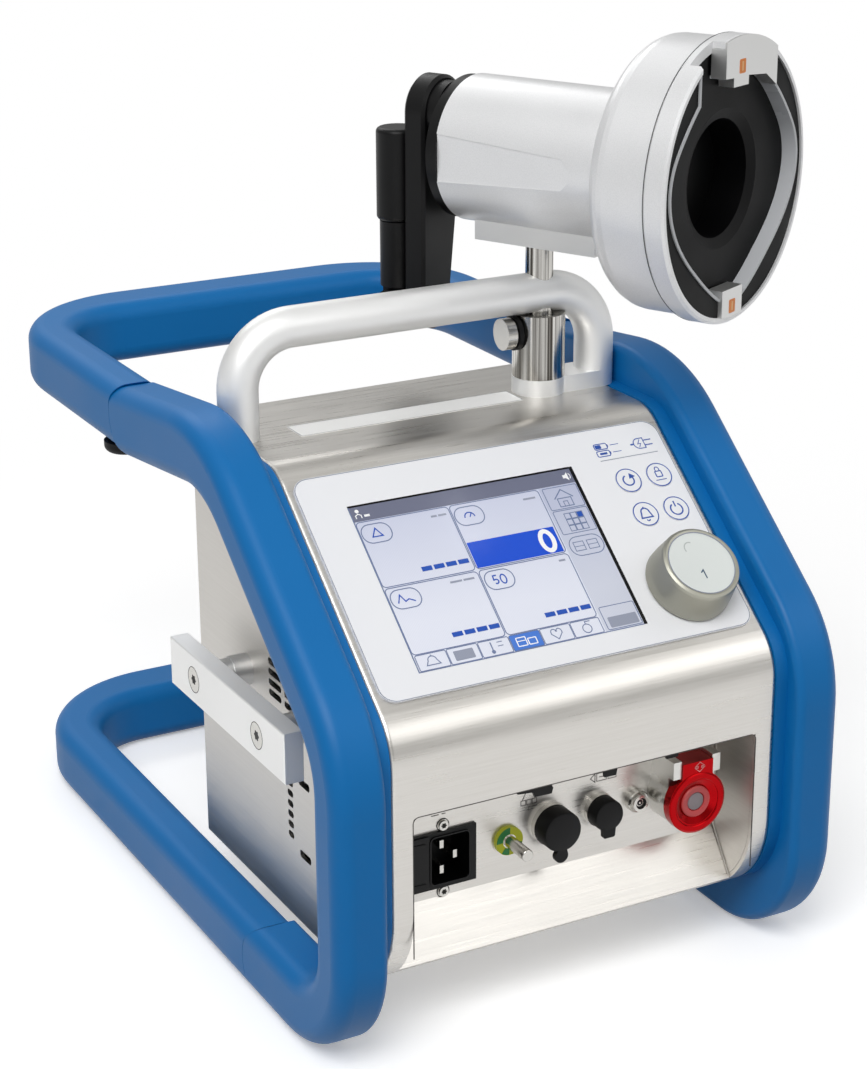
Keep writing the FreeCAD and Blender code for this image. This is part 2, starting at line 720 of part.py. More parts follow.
# Post: lifts out of the holder, and the saddle plate turns on its spigot
SADDLE_LOW = DRIVE_Z - SADDLE_DROP
SPIGOT_LONG = 5.5
post = joined([rod(POST_RADIUS, post_point(HOLDER_LOW + 4 + SEAT), post_point(SADDLE_LOW - SLIP)),
               rod(SPIGOT_RADIUS, post_point(SADDLE_LOW - 1),
                   post_point(SADDLE_LOW + SPIGOT_LONG))])
export("drive_post", post)

saddle = Part.makeBox(2 * SADDLE_HALF, SADDLE_DROP - 26, SADDLE_FRONT - SADDLE_BACK,
                      V(-SADDLE_HALF, -SADDLE_DROP, SADDLE_BACK))
saddle = saddle.cut(disc(BARREL_RADIUS, 0, 0, SADDLE_BACK - 1, SADDLE_FRONT + 1))
saddle = in_drive(saddle).cut(rod(SPIGOT_RADIUS + SLIP, post_point(SADDLE_LOW - 1),
                                  post_point(SADDLE_LOW + SPIGOT_LONG + SEAT)))
export("saddle_plate", saddle)


# Barrel: a tube with a tapered flat sunk into each side
def barrel_flat(side):
    """A wedge that leaves a flat, deeper at the back, with a round front end."""
    half_back = 11.8
    half_front = 7.5
    points = [V(0, -half_back, BARREL_BACK - 1), V(0, half_back, BARREL_BACK - 1),
              V(0, half_front, FLAT_FRONT - 4), V(0, half_front - 4, FLAT_FRONT),
              V(0, 4 - half_front, FLAT_FRONT), V(0, -half_front, FLAT_FRONT - 4)]
    prism = Part.Face(Part.makePolygon(points + points[:1])).extrude(V(20, 0, 0))
    lean = math.degrees(math.atan2(FLAT_DEPTH_BACK - FLAT_DEPTH_FRONT, FLAT_FRONT - BARREL_BACK))
    prism.rotate(V(0, 0, BARREL_BACK), V(0, 1, 0), lean)
    prism.translate(V(BARREL_RADIUS - FLAT_DEPTH_BACK, 0, 0))
    return prism if side > 0 else mirrored(prism)


barrel = disc(BARREL_RADIUS, 0, 0, BARREL_BACK, DRUM_BACK)
barrel = barrel.cut(disc(BARREL_RADIUS - BARREL_WALL, 0, 0, BARREL_BACK - 1, DRUM_BACK + 1))
barrel = barrel.cut(barrel_flat(1)).cut(barrel_flat(-1))
export("drive_barrel", in_drive(barrel))


# Drum: a turned shell with a rounded back, a seam groove and a wider front rim
def drum_shell():
    steps = 6
    points = [(BARREL_RADIUS - 8, DRUM_BACK)]
    for i in range(steps + 1):
        angle = math.pi / 2 * i / steps
        points.append((DRUM_RADIUS - DRUM_ROUND + DRUM_ROUND * math.sin(angle),
                       DRUM_BACK + DRUM_ROUND - DRUM_ROUND * math.cos(angle)))
    groove = 0.9
    points += [(DRUM_RADIUS, DRUM_SEAM - groove), (DRUM_RADIUS - groove, DRUM_SEAM - groove),
               (DRUM_RADIUS - groove, DRUM_SEAM), (DRUM_RIM_RADIUS - 1.2, DRUM_SEAM),
               (DRUM_RIM_RADIUS, DRUM_SEAM + 1.2), (DRUM_RIM_RADIUS, DRUM_FRONT - 1.2),
               (DRUM_RIM_RADIUS - 1.2, DRUM_FRONT), (FACE_RADIUS + SLIP, DRUM_FRONT),
               (FACE_RADIUS + SLIP, LEDGE), (DRUM_RADIUS - DRUM_WALL, LEDGE),
               (DRUM_RADIUS - DRUM_WALL, DRUM_BACK + DRUM_ROUND),
               (DRUM_RADIUS - DRUM_ROUND, DRUM_BACK + DRUM_WALL),
               (BARREL_RADIUS - 8, DRUM_BACK + DRUM_WALL)]
    return turned(points)


TOP_BLOCK_LEFT = -15.5
FACE_TOP = FACE_RADIUS + 8


def top_notch(left, low, high):
    """The gap in the rim between the liner's end and the top block."""
    return Part.makeBox(TOP_BLOCK_LEFT + 1 - left, FACE_TOP - NOTCH_LOW, high - low, V(left, NOTCH_LOW, low))


export("drive_drum", in_drive(drum_shell().cut(top_notch(NOTCH_LEFT, LEDGE, DRUM_FRONT + 1))))


# Black face with the shield-shaped recess that takes the pump, and its thin silver liner
SHIELD = [(0.0, 50.0), (22.0, 47.5), (36.0, 38.5), (48.5, 25.5), (56.5, 14.0), (59.3, 2.0),
          (55.5, -13.5), (45.0, -28.0), (31.0, -40.5), (13.5, -53.0), (0.0, -57.5)]


def shield_wire(scale, axial):
    """The recess outline, smooth and the same on both sides."""
    right = [V(x * scale, y * scale, axial) for x, y in SHIELD]
    left = [V(-p.x, p.y, axial) for p in right[-2:0:-1]]
    curve = Part.BSplineCurve()
    curve.interpolate(right + left, PeriodicFlag=True)
    return Part.Wire(curve.toShape())


LINER_LOW = LEDGE - 1.0
LINER_PROUD = 0.8


def shield_prism(scale, low, high):
    return Part.Face(shield_wire(scale, low)).extrude(V(0, 0, high - low))


def recess(grow, low, high):
    """The recess with its open upper left end, grown by a wall thickness."""
    shield = shield_prism(1 + grow / SHIELD[5][0], low, high)
    return shield.fuse(top_notch(NOTCH_LEFT - grow, low, high)).removeSplitter()


def liner_solid():
    front = FACE_FRONT + LINER_PROUD
    outer = recess(LINER_THICK, LINER_LOW, front).common(disc(FACE_RADIUS, 0, 0, LINER_LOW, front))
    outer = outer.cut(disc(FACE_RADIUS + 1, 0, 0, LINER_LOW - 1, LEDGE).cut(
        disc(DRUM_RADIUS - DRUM_WALL - SLIP, 0, 0, LINER_LOW - 1, LEDGE)))
    return outer.cut(recess(0, LINER_LOW - 1, front + 1))


def bayonet_blocks():
    """Top block: a curved sector with a small tab. Bottom block: a short straight one."""
    front = FACE_FRONT + 2.2
    plate = disc(FACE_RADIUS, 0, 0, LEDGE, front)
    top_plate = joined([plate, disc(DRUM_RIM_RADIUS, 0, 0, DRUM_FRONT + SLIP, front)])
    low_edge = [(TOP_BLOCK_LEFT, 49.2), (-8.0, 48.8), (-8.0, 44.5), (6.0, 44.3), (6.0, 48.5), (23.0, 46.8),
                (33.5, 40.3), (33.5, FACE_TOP), (TOP_BLOCK_LEFT, FACE_TOP)]
    outline = closed_face(low_edge, lambda across, up: V(across, up, LEDGE))
    sector = top_plate.common(outline.extrude(V(0, 0, front - LEDGE)))
    bottom = plate.common(Part.makeBox(19, 18, 20, V(-11.5, -68.5, LEDGE - 1)))
    return sector, bottom


def drum_face():
    face = joined([disc(DRUM_RADIUS - DRUM_WALL - SLIP, 0, 0, FACE_BACK, LEDGE),
                   disc(FACE_RADIUS, 0, 0, LEDGE, FACE_FRONT)])
    bowl = Part.makeLoft([Part.Wire(Part.makeCircle(BORE_RADIUS, V(0, 0, BORE_LIP), V(0, 0, 1))),
                          Part.Wire(Part.makeCircle(BOWL_RADIUS, V(0, 0, LINER_LOW), V(0, 0, 1)))], True)
    face = face.cut(bowl)
    return face.cut(disc(BORE_RADIUS, 0, 0, BORE_FLOOR, FACE_FRONT + 1))


blocks = bayonet_blocks()
both_blocks = Part.makeCompound(list(blocks))
export("bayonet_blocks", *[in_drive(piece) for piece in blocks])
export("cavity_liner", in_drive(liner_solid().cut(both_blocks)))
export("drum_face", in_drive(drum_face().cut(recess(LINER_THICK, LINER_LOW, FACE_FRONT + 1)).cut(both_blocks)))


# End cap of the barrel, which carries the crank shaft and one end of the lay shaft
SHAFT_OFFSET = math.hypot(HUB_ACROSS, HUB_UP)
CRANK_TO_LAY = GEAR_MODULE * (CRANK_TEETH + PINION_TEETH) / 2 + CENTRE_PLAY
LAY_TO_ROTOR = GEAR_MODULE * (LAY_TEETH + PINION_TEETH) / 2 + CENTRE_PLAY


def lay_place():
    """Where the lay shaft stands, from its distances to the other two shafts."""
    along = (LAY_TO_ROTOR ** 2 - CRANK_TO_LAY ** 2 + SHAFT_OFFSET ** 2) / (2 * SHAFT_OFFSET)
    aside = math.sqrt(LAY_TO_ROTOR ** 2 - along ** 2)
    ux = HUB_ACROSS / SHAFT_OFFSET
    uy = HUB_UP / SHAFT_OFFSET
    return ux * along + uy * aside, uy * along - ux * aside


LAY_X, LAY_Y = lay_place()
END_INNER = -36.0
CRANK_GEAR_AT = -33.0
LAY_GEAR_AT = -25.5
GEAR_WIDE = 6.0
SPIGOT_IN = BARREL_RADIUS - BARREL_WALL - SLIP


def bearing(radius, across, up, low, high):
    """A plain ring bearing round a shaft, seated in a wall."""
    wall = disc(radius + BEARING_WALL, across, up, low, high)
    return wall.cut(disc(radius + SLIP, across, up, low - 1, high + 1))


end_cap = joined([disc(BARREL_RADIUS - 0.8, 0, 0, CAP_BACK, BARREL_BACK),
                  disc(SPIGOT_IN, 0, 0, BARREL_BACK, END_INNER)])
end_cap = end_cap.cut(disc(CRANK_SHAFT_RADIUS + BEARING_WALL, HUB_ACROSS, HUB_UP,
                           CAP_BACK - 1, END_INNER + 1))
end_cap = end_cap.cut(disc(LAY_SHAFT_RADIUS + BEARING_WALL, LAY_X, LAY_Y, END_INNER - 4,
                           END_INNER + 1))
export("barrel_end_cap", in_drive(end_cap))

PLATE_END = GEAR_PLATE_AT + GEAR_PLATE_THICK
gear_plate = disc(SPIGOT_IN, 0, 0, GEAR_PLATE_AT, PLATE_END)
for radius, across, up in ((LAY_SHAFT_RADIUS, LAY_X, LAY_Y), (ROTOR_SHAFT_RADIUS, 0, 0)):
    gear_plate = gear_plate.cut(disc(radius + BEARING_WALL, across, up, GEAR_PLATE_AT - 1,
                                     PLATE_END + 1))
export("gear_plate", in_drive(gear_plate))

BACK_WALL_END = DRUM_BACK + DRUM_WALL
back_bush = disc(BARREL_RADIUS - 8 - SLIP, 0, 0, DRUM_BACK, BACK_WALL_END)
back_bush = back_bush.cut(disc(ROTOR_SHAFT_RADIUS + SLIP, 0, 0, DRUM_BACK - 1, BACK_WALL_END + 1))
export("shaft_bearings",
       in_drive(bearing(CRANK_SHAFT_RADIUS, HUB_ACROSS, HUB_UP, CAP_BACK, END_INNER)),
       in_drive(bearing(LAY_SHAFT_RADIUS, LAY_X, LAY_Y, END_INNER - 4, END_INNER)),
       in_drive(bearing(LAY_SHAFT_RADIUS, LAY_X, LAY_Y, GEAR_PLATE_AT, PLATE_END)),
       in_drive(bearing(ROTOR_SHAFT_RADIUS, 0, 0, GEAR_PLATE_AT, PLATE_END)),
       in_drive(back_bush))


# Gears: involute teeth, meshed at rest
PRESSURE = math.radians(20.0)


def spur_gear(teeth, wide, across, up, low, phase):
    """A spur gear with one tooth centred at the phase angle."""
    pitch = GEAR_MODULE * teeth / 2
    base = pitch * math.cos(PRESSURE)
    tip = pitch + GEAR_MODULE * 0.95
    root = pitch - GEAR_MODULE * 1.25

    def half_angle(radius):
        lean = math.acos(min(1.0, base / radius))
        whole = math.tan(PRESSURE) - PRESSURE - (math.tan(lean) - lean)
        return math.pi / (2 * teeth) + whole - GEAR_BACKLASH / pitch

    points = []
    for tooth in range(teeth):
        middle = phase + 2 * math.pi * tooth / teeth
        flank = [(root, half_angle(base)), (pitch, half_angle(pitch)), (tip, half_angle(tip))]
        for radius, half in flank:
            points.append((radius, middle - half))
        for radius, half in flank[::-1]:
            points.append((radius, middle + half))
    corners = [V(across + r * math.cos(a), up + r * math.sin(a), low) for r, a in points]
    return Part.Face(Part.makePolygon(corners + corners[:1])).extrude(V(0, 0, wide))


TO_LAY = math.atan2(LAY_Y - HUB_UP, LAY_X - HUB_ACROSS)
TO_ROTOR = math.atan2(-LAY_Y, -LAY_X)
FACING = math.pi + math.pi / PINION_TEETH

crank_shaft = joined([
    disc(CRANK_SHAFT_RADIUS, HUB_ACROSS, HUB_UP, ARM_INNER - ARM_THICK + 3,
         CRANK_GEAR_AT + GEAR_WIDE),
    spur_gear(CRANK_TEETH, GEAR_WIDE, HUB_ACROSS, HUB_UP, CRANK_GEAR_AT, TO_LAY)])
export("crank_shaft", in_drive(crank_shaft))

lay_shaft = joined([
    disc(LAY_SHAFT_RADIUS, LAY_X, LAY_Y, END_INNER - 4 + SEAT, PLATE_END),
    spur_gear(PINION_TEETH, GEAR_WIDE + 1, LAY_X, LAY_Y, CRANK_GEAR_AT - 0.5, TO_LAY + FACING),
    spur_gear(LAY_TEETH, GEAR_WIDE, LAY_X, LAY_Y, LAY_GEAR_AT, TO_ROTOR)])
export("lay_shaft", in_drive(lay_shaft))

rotor_shaft = joined([
    disc(ROTOR_SHAFT_RADIUS, 0, 0, LAY_GEAR_AT - 0.5, ROTOR_DISC_AT + ROTOR_DISC_THICK),
    spur_gear(PINION_TEETH, GEAR_WIDE + 1, 0, 0, LAY_GEAR_AT - 0.5, TO_ROTOR + FACING)])
export("rotor_shaft", in_drive(rotor_shaft))


# Magnet rotor: a disc with magnets in pockets, behind the floor of the bore
def magnet_disc():
    body = disc(ROTOR_DISC_RADIUS, 0, 0, ROTOR_DISC_AT, ROTOR_DISC_AT + ROTOR_DISC_THICK)
    body = body.cut(disc(ROTOR_SHAFT_RADIUS, 0, 0, ROTOR_DISC_AT - 1,
                         ROTOR_DISC_AT + ROTOR_DISC_THICK + 1))
    magnets = []
    for i in range(MAGNET_COUNT):
        angle = 2 * math.pi * i / MAGNET_COUNT
        magnets.append(disc(MAGNET_RADIUS, MAGNET_RING * math.cos(angle),
                            MAGNET_RING * math.sin(angle), ROTOR_DISC_AT + 2,
                            ROTOR_DISC_AT + ROTOR_DISC_THICK))
    return [body.cut(Part.makeCompound(magnets))] + magnets


export("magnet_rotor", *[in_drive(piece) for piece in magnet_disc()])


# Crank arm: a tapering plate with a hub boss, keyed on the crank shaft
def crank_arm():
    low = ARM_INNER - ARM_THICK
    gap = math.hypot(TIP_ACROSS - HUB_ACROSS, TIP_UP - HUB_UP)
    lean = math.asin((HUB_RADIUS - TIP_RADIUS) / gap)
    heading = math.atan2(TIP_UP - HUB_UP, TIP_ACROSS - HUB_ACROSS)
    corners = []
    for centre, radius, side in (((HUB_ACROSS, HUB_UP), HUB_RADIUS, 1),
                                 ((TIP_ACROSS, TIP_UP), TIP_RADIUS, 1),
                                 ((TIP_ACROSS, TIP_UP), TIP_RADIUS, -1),
                                 ((HUB_ACROSS, HUB_UP), HUB_RADIUS, -1)):
        angle = heading + side * (math.pi / 2 - lean)
        corners.append(V(centre[0] + radius * math.cos(angle),
                         centre[1] + radius * math.sin(angle), low))
    web = Part.Face(Part.makePolygon(corners + corners[:1])).extrude(V(0, 0, ARM_THICK))
    arm = joined([web, disc(HUB_RADIUS, HUB_ACROSS, HUB_UP, low, ARM_INNER),
                  disc(TIP_RADIUS, TIP_ACROSS, TIP_UP, low, ARM_INNER)])
    rims = [e for e in arm.Edges
            if all(abs(v.Z - low) < 0.001 for v in e.Vertexes)
            or all(abs(v.Z - ARM_INNER) < 0.001 for v in e.Vertexes)]
    arm = arm.makeChamfer(1.6, rims)
    boss = disc(HUB_RADIUS - 2.5, HUB_ACROSS, HUB_UP, ARM_INNER - 2, CAP_BACK - 0.4)
    arm = joined([arm, boss])
    return arm.cut(disc(CRANK_SHAFT_RADIUS, HUB_ACROSS, HUB_UP, low + 3, CAP_BACK))


# Fork at the arm's tip: the grip folds out on a cross pin
EAR_HALF = 9.5
TONGUE_HALF = 5.0
PIN_RADIUS = 2.5
ARM_BACK = ARM_INNER - ARM_THICK
EAR_RADIUS = 7.0


def cross_rod(radius, half, up, axial):
    """A cylinder across the drive axis, centred on the arm's tip."""
    return Part.makeCylinder(radius, 2 * half, V(TIP_ACROSS - half, up, axial), V(1, 0, 0))


def arm_ears():
    """Two ears on the arm's outer face, with the cross pin between them."""
    ears = []
    for inner, outer in ((-EAR_HALF, -TONGUE_HALF - SEAT), (TONGUE_HALF + SEAT, EAR_HALF)):
        wide = outer - inner
        ear = Part.makeCylinder(EAR_RADIUS, wide, V(TIP_ACROSS + inner, GRIP_PIVOT_UP, GRIP_AXIAL),
                                V(1, 0, 0))
        stem = Part.makeBox(wide, 2 * EAR_RADIUS, ARM_BACK - GRIP_AXIAL + 3,
                            V(TIP_ACROSS + inner, GRIP_PIVOT_UP - EAR_RADIUS, GRIP_AXIAL))
        ears += [ear, stem]
    pin = cross_rod(PIN_RADIUS, EAR_HALF, GRIP_PIVOT_UP, GRIP_AXIAL)
    return ears + [pin]


export("crank_arm", in_drive(joined([crank_arm()] + arm_ears())))


# Grip: the tongue turns on the pin, its rod carries the loose sleeve
def grip_fork():
    reach = EAR_RADIUS + 1.2
    tongue = joined([cross_rod(EAR_RADIUS - 0.5, TONGUE_HALF, GRIP_PIVOT_UP, GRIP_AXIAL),
                     Part.makeBox(2 * TONGUE_HALF, reach + 1, 2 * (EAR_RADIUS - 0.5),
                                  V(TIP_ACROSS - TONGUE_HALF, GRIP_PIVOT_UP,
                                    GRIP_AXIAL - EAR_RADIUS + 0.5))])
    base_low = GRIP_PIVOT_UP + reach
    base = Part.makeCylinder(GRIP_BASE_RADIUS, GRIP_BASE_TOP - SEAT - base_low,
                             V(TIP_ACROSS, base_low, GRIP_AXIAL), V(0, 1, 0))
    spindle = Part.makeCylinder(GRIP_ROD_RADIUS, GRIP_LONG - 4 + 1,
                                V(TIP_ACROSS, GRIP_BASE_TOP - 1, GRIP_AXIAL), V(0, 1, 0))
    fork = joined([tongue, base, spindle])
    return fork.cut(cross_rod(PIN_RADIUS + SLIP, TONGUE_HALF + 1, GRIP_PIVOT_UP, GRIP_AXIAL))


export("grip_fork", in_drive(grip_fork()))

sleeve = Part.makeCylinder(GRIP_RADIUS, GRIP_LONG, V(TIP_ACROSS, GRIP_BASE_TOP, GRIP_AXIAL),
                           V(0, 1, 0))
sleeve = sleeve.makeFillet(2.5, [e for e in sleeve.Edges if e.Curve.TypeId == "Part::GeomCircle"])
sleeve = sleeve.cut(Part.makeCylinder(GRIP_ROD_RADIUS + SLIP, GRIP_LONG - 4 + SEAT,
                                      V(TIP_ACROSS, GRIP_BASE_TOP, GRIP_AXIAL), V(0, 1, 0)))
export("crank_grip", in_drive(sleeve))


# Control panel, display and keys
panel = rounded_plate(PANEL_WIDE, PANEL_TALL, PANEL_THICK, PANEL_ROUND)
panel = on_panel(panel, 0, PANEL_TALL / 2, 0)
screen_hole = Part.makeBox(SCREEN_WIDE, SCREEN_TALL, 6)
panel = panel.cut(on_panel(screen_hole, SCREEN_LEFT, SCREEN_DOWN + SCREEN_TALL, -2))
for across, down in KEY_PLACES.values():
    panel = panel.cut(on_panel(Part.makeCylinder(KEY_RADIUS + SLIP * 2, 6), across, down, -2))
panel = panel.cut(on_panel(Part.makeCylinder(KNOB_SHAFT + 1.5, 6), KNOB_ACROSS, KNOB_DOWN, -2))
export("control_panel", panel)

glass = Part.makeBox(SCREEN_WIDE - 0.4, SCREEN_TALL - 0.4, PANEL_THICK)
export("display_glass", on_panel(glass, SCREEN_LEFT + 0.2, SCREEN_DOWN + SCREEN_TALL - 0.2, 0))

KEY_STEM = 4.0
for node, (across, down) in KEY_PLACES.items():
    key = Part.makeCylinder(KEY_RADIUS, PANEL_THICK + 0.5 + KEY_STEM, V(0, 0, -KEY_STEM))
    export(node, on_panel(key, across, down, 0))


# Speed knob on the encoder's shaft
def speed_knob():
    low = PANEL_THICK + 0.4
    dish = 1.6
    points = [(KNOB_SHAFT, low), (KNOB_BASE - 1, low), (KNOB_BASE, low + 1),
              (KNOB_BASE - 0.4, low + 6), (KNOB_TOP + 0.3, KNOB_HIGH - 2),
              (KNOB_TOP - 0.2, KNOB_HIGH - 0.6), (KNOB_TOP - 1.4, KNOB_HIGH),
              (KNOB_TOP - 3.0, KNOB_HIGH - 0.3), (8.0, KNOB_HIGH - dish), (0, KNOB_HIGH - dish - 0.2),
              (0, KNOB_HIGH - 6), (KNOB_SHAFT, KNOB_HIGH - 6)]
    body = turned(points)
    return joined([body, Part.makeCylinder(KNOB_SHAFT, KNOB_HIGH + 6, V(0, 0, -12))])


export("speed_knob", on_panel(speed_knob(), KNOB_ACROSS, KNOB_DOWN, 0))


# Electronics behind the panel: display module, main board and the knob's encoder
def control_electronics():
    sheet_back = -SHEET - SEAT
    module = Part.makeBox(SCREEN_WIDE + 2, SCREEN_TALL + 4, 8)
    module = on_panel(module, SCREEN_LEFT - 1, SCREEN_DOWN + SCREEN_TALL + 1, sheet_back - 8)
    touch = Part.makeBox(SCREEN_WIDE - 9, SCREEN_TALL - 9, SHEET + SEAT)
    touch = on_panel(touch, SCREEN_LEFT + 4.5, SCREEN_DOWN + SCREEN_TALL - 4.5, sheet_back)
    board = Part.makeBox(SCREEN_WIDE + 56, SCREEN_TALL + 4, 1.6)
    board = on_panel(board, SCREEN_LEFT - 1, SCREEN_DOWN + SCREEN_TALL + 1, sheet_back - 16)
    posts = []
    for across, down in ((-70, 24), (38, 24), (-70, 104), (38, 104)):
        posts.append(on_panel(Part.makeCylinder(3, 6.4), across, down, sheet_back - 14.4))
    encoder = Part.makeBox(14, 14, 14.4, V(-7, -7, 0))
    encoder = encoder.cut(Part.makeCylinder(KNOB_SHAFT + SLIP, 20, V(0, 0, -1)))
    encoder = on_panel(encoder, KNOB_ACROSS, KNOB_DOWN, sheet_back - 14.4)
    domes = []
    for across, down in KEY_PLACES.values():
        tall = 14.4 + sheet_back + SHEET - KEY_STEM - KEY_TRAVEL - 0.1
        domes.append(on_panel(Part.makeCylinder(3.0, tall), across, down, sheet_back - 14.4))
    return [joined([module, touch])] + [joined([board] + posts + [encoder] + domes)]


export("control_electronics", *control_electronics())


# Equipment rail, its spacers and countersunk screws
RAIL_BACK = RAIL_FACE + RAIL_THICK
rail = block((RAIL_FACE, RAIL_BACK), (RAIL_FRONT_Y, RAIL_FRONT_Y + RAIL_LONG),
             (RAIL_Z - RAIL_TALL / 2, RAIL_Z + RAIL_TALL / 2))
rail = rail.makeChamfer(0.5, [e for e in rail.Edges if abs(e.Vertexes[0].X - e.Vertexes[1].X) < 0.01])
HEAD_DEEP = RAIL_HEAD_RADIUS - RAIL_SCREW_RADIUS
spacers = []
screws = []
for y in RAIL_SCREW_Y:
    cone = Part.makeCone(RAIL_HEAD_RADIUS, RAIL_SCREW_RADIUS, HEAD_DEEP, V(RAIL_FACE, y, RAIL_Z),
                         V(1, 0, 0))
    shank = rod(RAIL_SCREW_RADIUS, V(RAIL_FACE + HEAD_DEEP - 0.5, y, RAIL_Z),
                V(-CASE_HALF + SHEET + 2, y, RAIL_Z))
    rail = rail.cut(joined([cone, rod(RAIL_SCREW_RADIUS, V(RAIL_FACE - 1, y, RAIL_Z),
                                      V(RAIL_BACK + 1, y, RAIL_Z))]))
    socket_hole = Part.makeCylinder(2.0, 2.4, V(RAIL_FACE, y, RAIL_Z), V(1, 0, 0))
    screws.append(joined([cone, shank]).cut(socket_hole))
    half_way = (RAIL_BACK - CASE_HALF) / 2
    thick_end = ring(SPACER_RADIUS, RAIL_SCREW_RADIUS, V(half_way, y, RAIL_Z),
                     V(-CASE_HALF, y, RAIL_Z))
    thin_end = ring(SPACER_RADIUS - 0.8, RAIL_SCREW_RADIUS, V(RAIL_BACK, y, RAIL_Z),
                    V(half_way, y, RAIL_Z))
    spacers.append(joined([thick_end, thin_end]))
export("equipment_rail", rail)
export("rail_spacers", *spacers)
export("rail_screws", *screws)


# Mains inlet with its pins
INLET_DEEP = 22.0
POCKET_X = -57.0
POCKET_Z = 80.5
inlet = joined([
    block(INLET_XS, (BAY_BACK - 1.5, BAY_BACK), INLET_ZS),
    block((INLET_XS[0] + 1.6, INLET_XS[1] - 1.6), (BAY_BACK - 0.5, BAY_BACK + INLET_DEEP),
          (INLET_ZS[0] + 1.6, INLET_ZS[1] - 1.6))])
inlet = inlet.cut(block((POCKET_X - 10, POCKET_X + 10), (BAY_BACK - 3, BAY_BACK + 15),
                        (POCKET_Z - 12, POCKET_Z + 12)))
pins = []
for across, up in ((-3.0, 6.5), (-3.0, -6.5), (4.0, 0.0)):
    pins.append(block((POCKET_X + across - 1, POCKET_X + across + 1), (BAY_BACK + 1, BAY_BACK + 18),
                      (POCKET_Z + up - 2, POCKET_Z + up + 2)))
inlet = inlet.cut(Part.makeCompound(pins))
export("mains_inlet", inlet)
export("inlet_pins", *pins)


# Earth stud with its washer
def bay_point(x, y, z):
    return V(x, y, z)


STUD_TIP_Y = 12.5
NUT_RADIUS = 6.0
WASHER_DEEP = 2.4
stud = joined([rod(EARTH_RADIUS, bay_point(EARTH_X, STUD_TIP_Y, EARTH_Z),
                   bay_point(EARTH_X, BAY_BACK - WASHER_DEEP, EARTH_Z)),
               rod(EARTH_SHANK, bay_point(EARTH_X, BAY_BACK - WASHER_DEEP, EARTH_Z),
                   bay_point(EARTH_X, BAY_BACK + 7, EARTH_Z)),
               hexagon(NUT_RADIUS, EARTH_X, EARTH_Z, BAY_BACK + SHEET, BAY_BACK + SHEET + 3)])
stud = stud.makeFillet(0.8, [e for e in stud.Edges if e.Curve.TypeId == "Part::GeomCircle"
                             and abs(e.Vertexes[0].Y - STUD_TIP_Y) < 0.01])
export("earth_stud", stud)
export("earth_washer", ring(7.2, EARTH_SHANK, bay_point(EARTH_X, BAY_BACK - WASHER_DEEP, EARTH_Z),
                            bay_point(EARTH_X, BAY_BACK, EARTH_Z)))


# Sockets in the bay and the caps that pull off them
CAP_FRONT = {"large_cap": 19.5, "small_cap": 21.5}


def socket_body(x, z, radius, front):
    """A flanged socket: a ring before the wall, a neck through it and a nut behind."""
    flange = rod(radius, V(x, BAY_BACK - 3, z), V(x, BAY_BACK, z))
    neck = rod(radius - SOCKET_NECK, V(x, front, z), V(x, BAY_BACK + 10, z))
    nut = hexagon(radius + 0.8, x, z, BAY_BACK + SHEET, BAY_BACK + SHEET + 3)
    body = joined([flange, neck, nut])
    return body.cut(rod(radius - SOCKET_NECK - 1.4, V(x, front - 1, z), V(x, BAY_BACK + 4, z)))


def dust_cap(x, z, radius, front, tab):
    """A cup over the socket's neck with a finger tab below."""
    cup = rod(radius - 0.4, V(x, front, z), V(x, BAY_BACK - 3 - SEAT, z))
    grip_tab = block((x - tab, x + tab), (front, front + 2.5), (z - radius - 3.5, z - radius + 3))
    cap = joined([cup, grip_tab])
    return cap.cut(rod(radius - SOCKET_NECK + SLIP, V(x, front + 2.5, z), V(x, BAY_BACK, z)))


sockets = []
for node, x, z, radius, tab in (("large_cap", LARGE_X, LARGE_Z, LARGE_RADIUS, 3.8),
                                ("small_cap", SMALL_X, SMALL_Z, SMALL_RADIUS, 3.6)):
    sockets.append(socket_body(x, z, radius, CAP_FRONT[node] + 3))
    export(node, dust_cap(x, z, radius, CAP_FRONT[node], tab))
sockets.append(socket_body(ROUND_X, ROUND_Z, ROUND_RADIUS, BAY_BACK - 6))
export("bay_sockets", *sockets)


# Pump connector with two ears, and the red cover that swings up on their pin
COVER_FRONT = 12.0
COVER_BACK = 17.0
EAR_Z = 105.0
EAR_Y = 20.5
COVER_HALF = 8.6
EAR_WIDE = 4.5
PIN_THICK = 1.5
KNUCKLE_HALF = 3.5
KNUCKLE_REACH = KNUCKLE_HALF * math.sqrt(2)
EAR_REACH = math.hypot(EAR_Y - COVER_FRONT - 1, 5.0) + 2 * SEAT


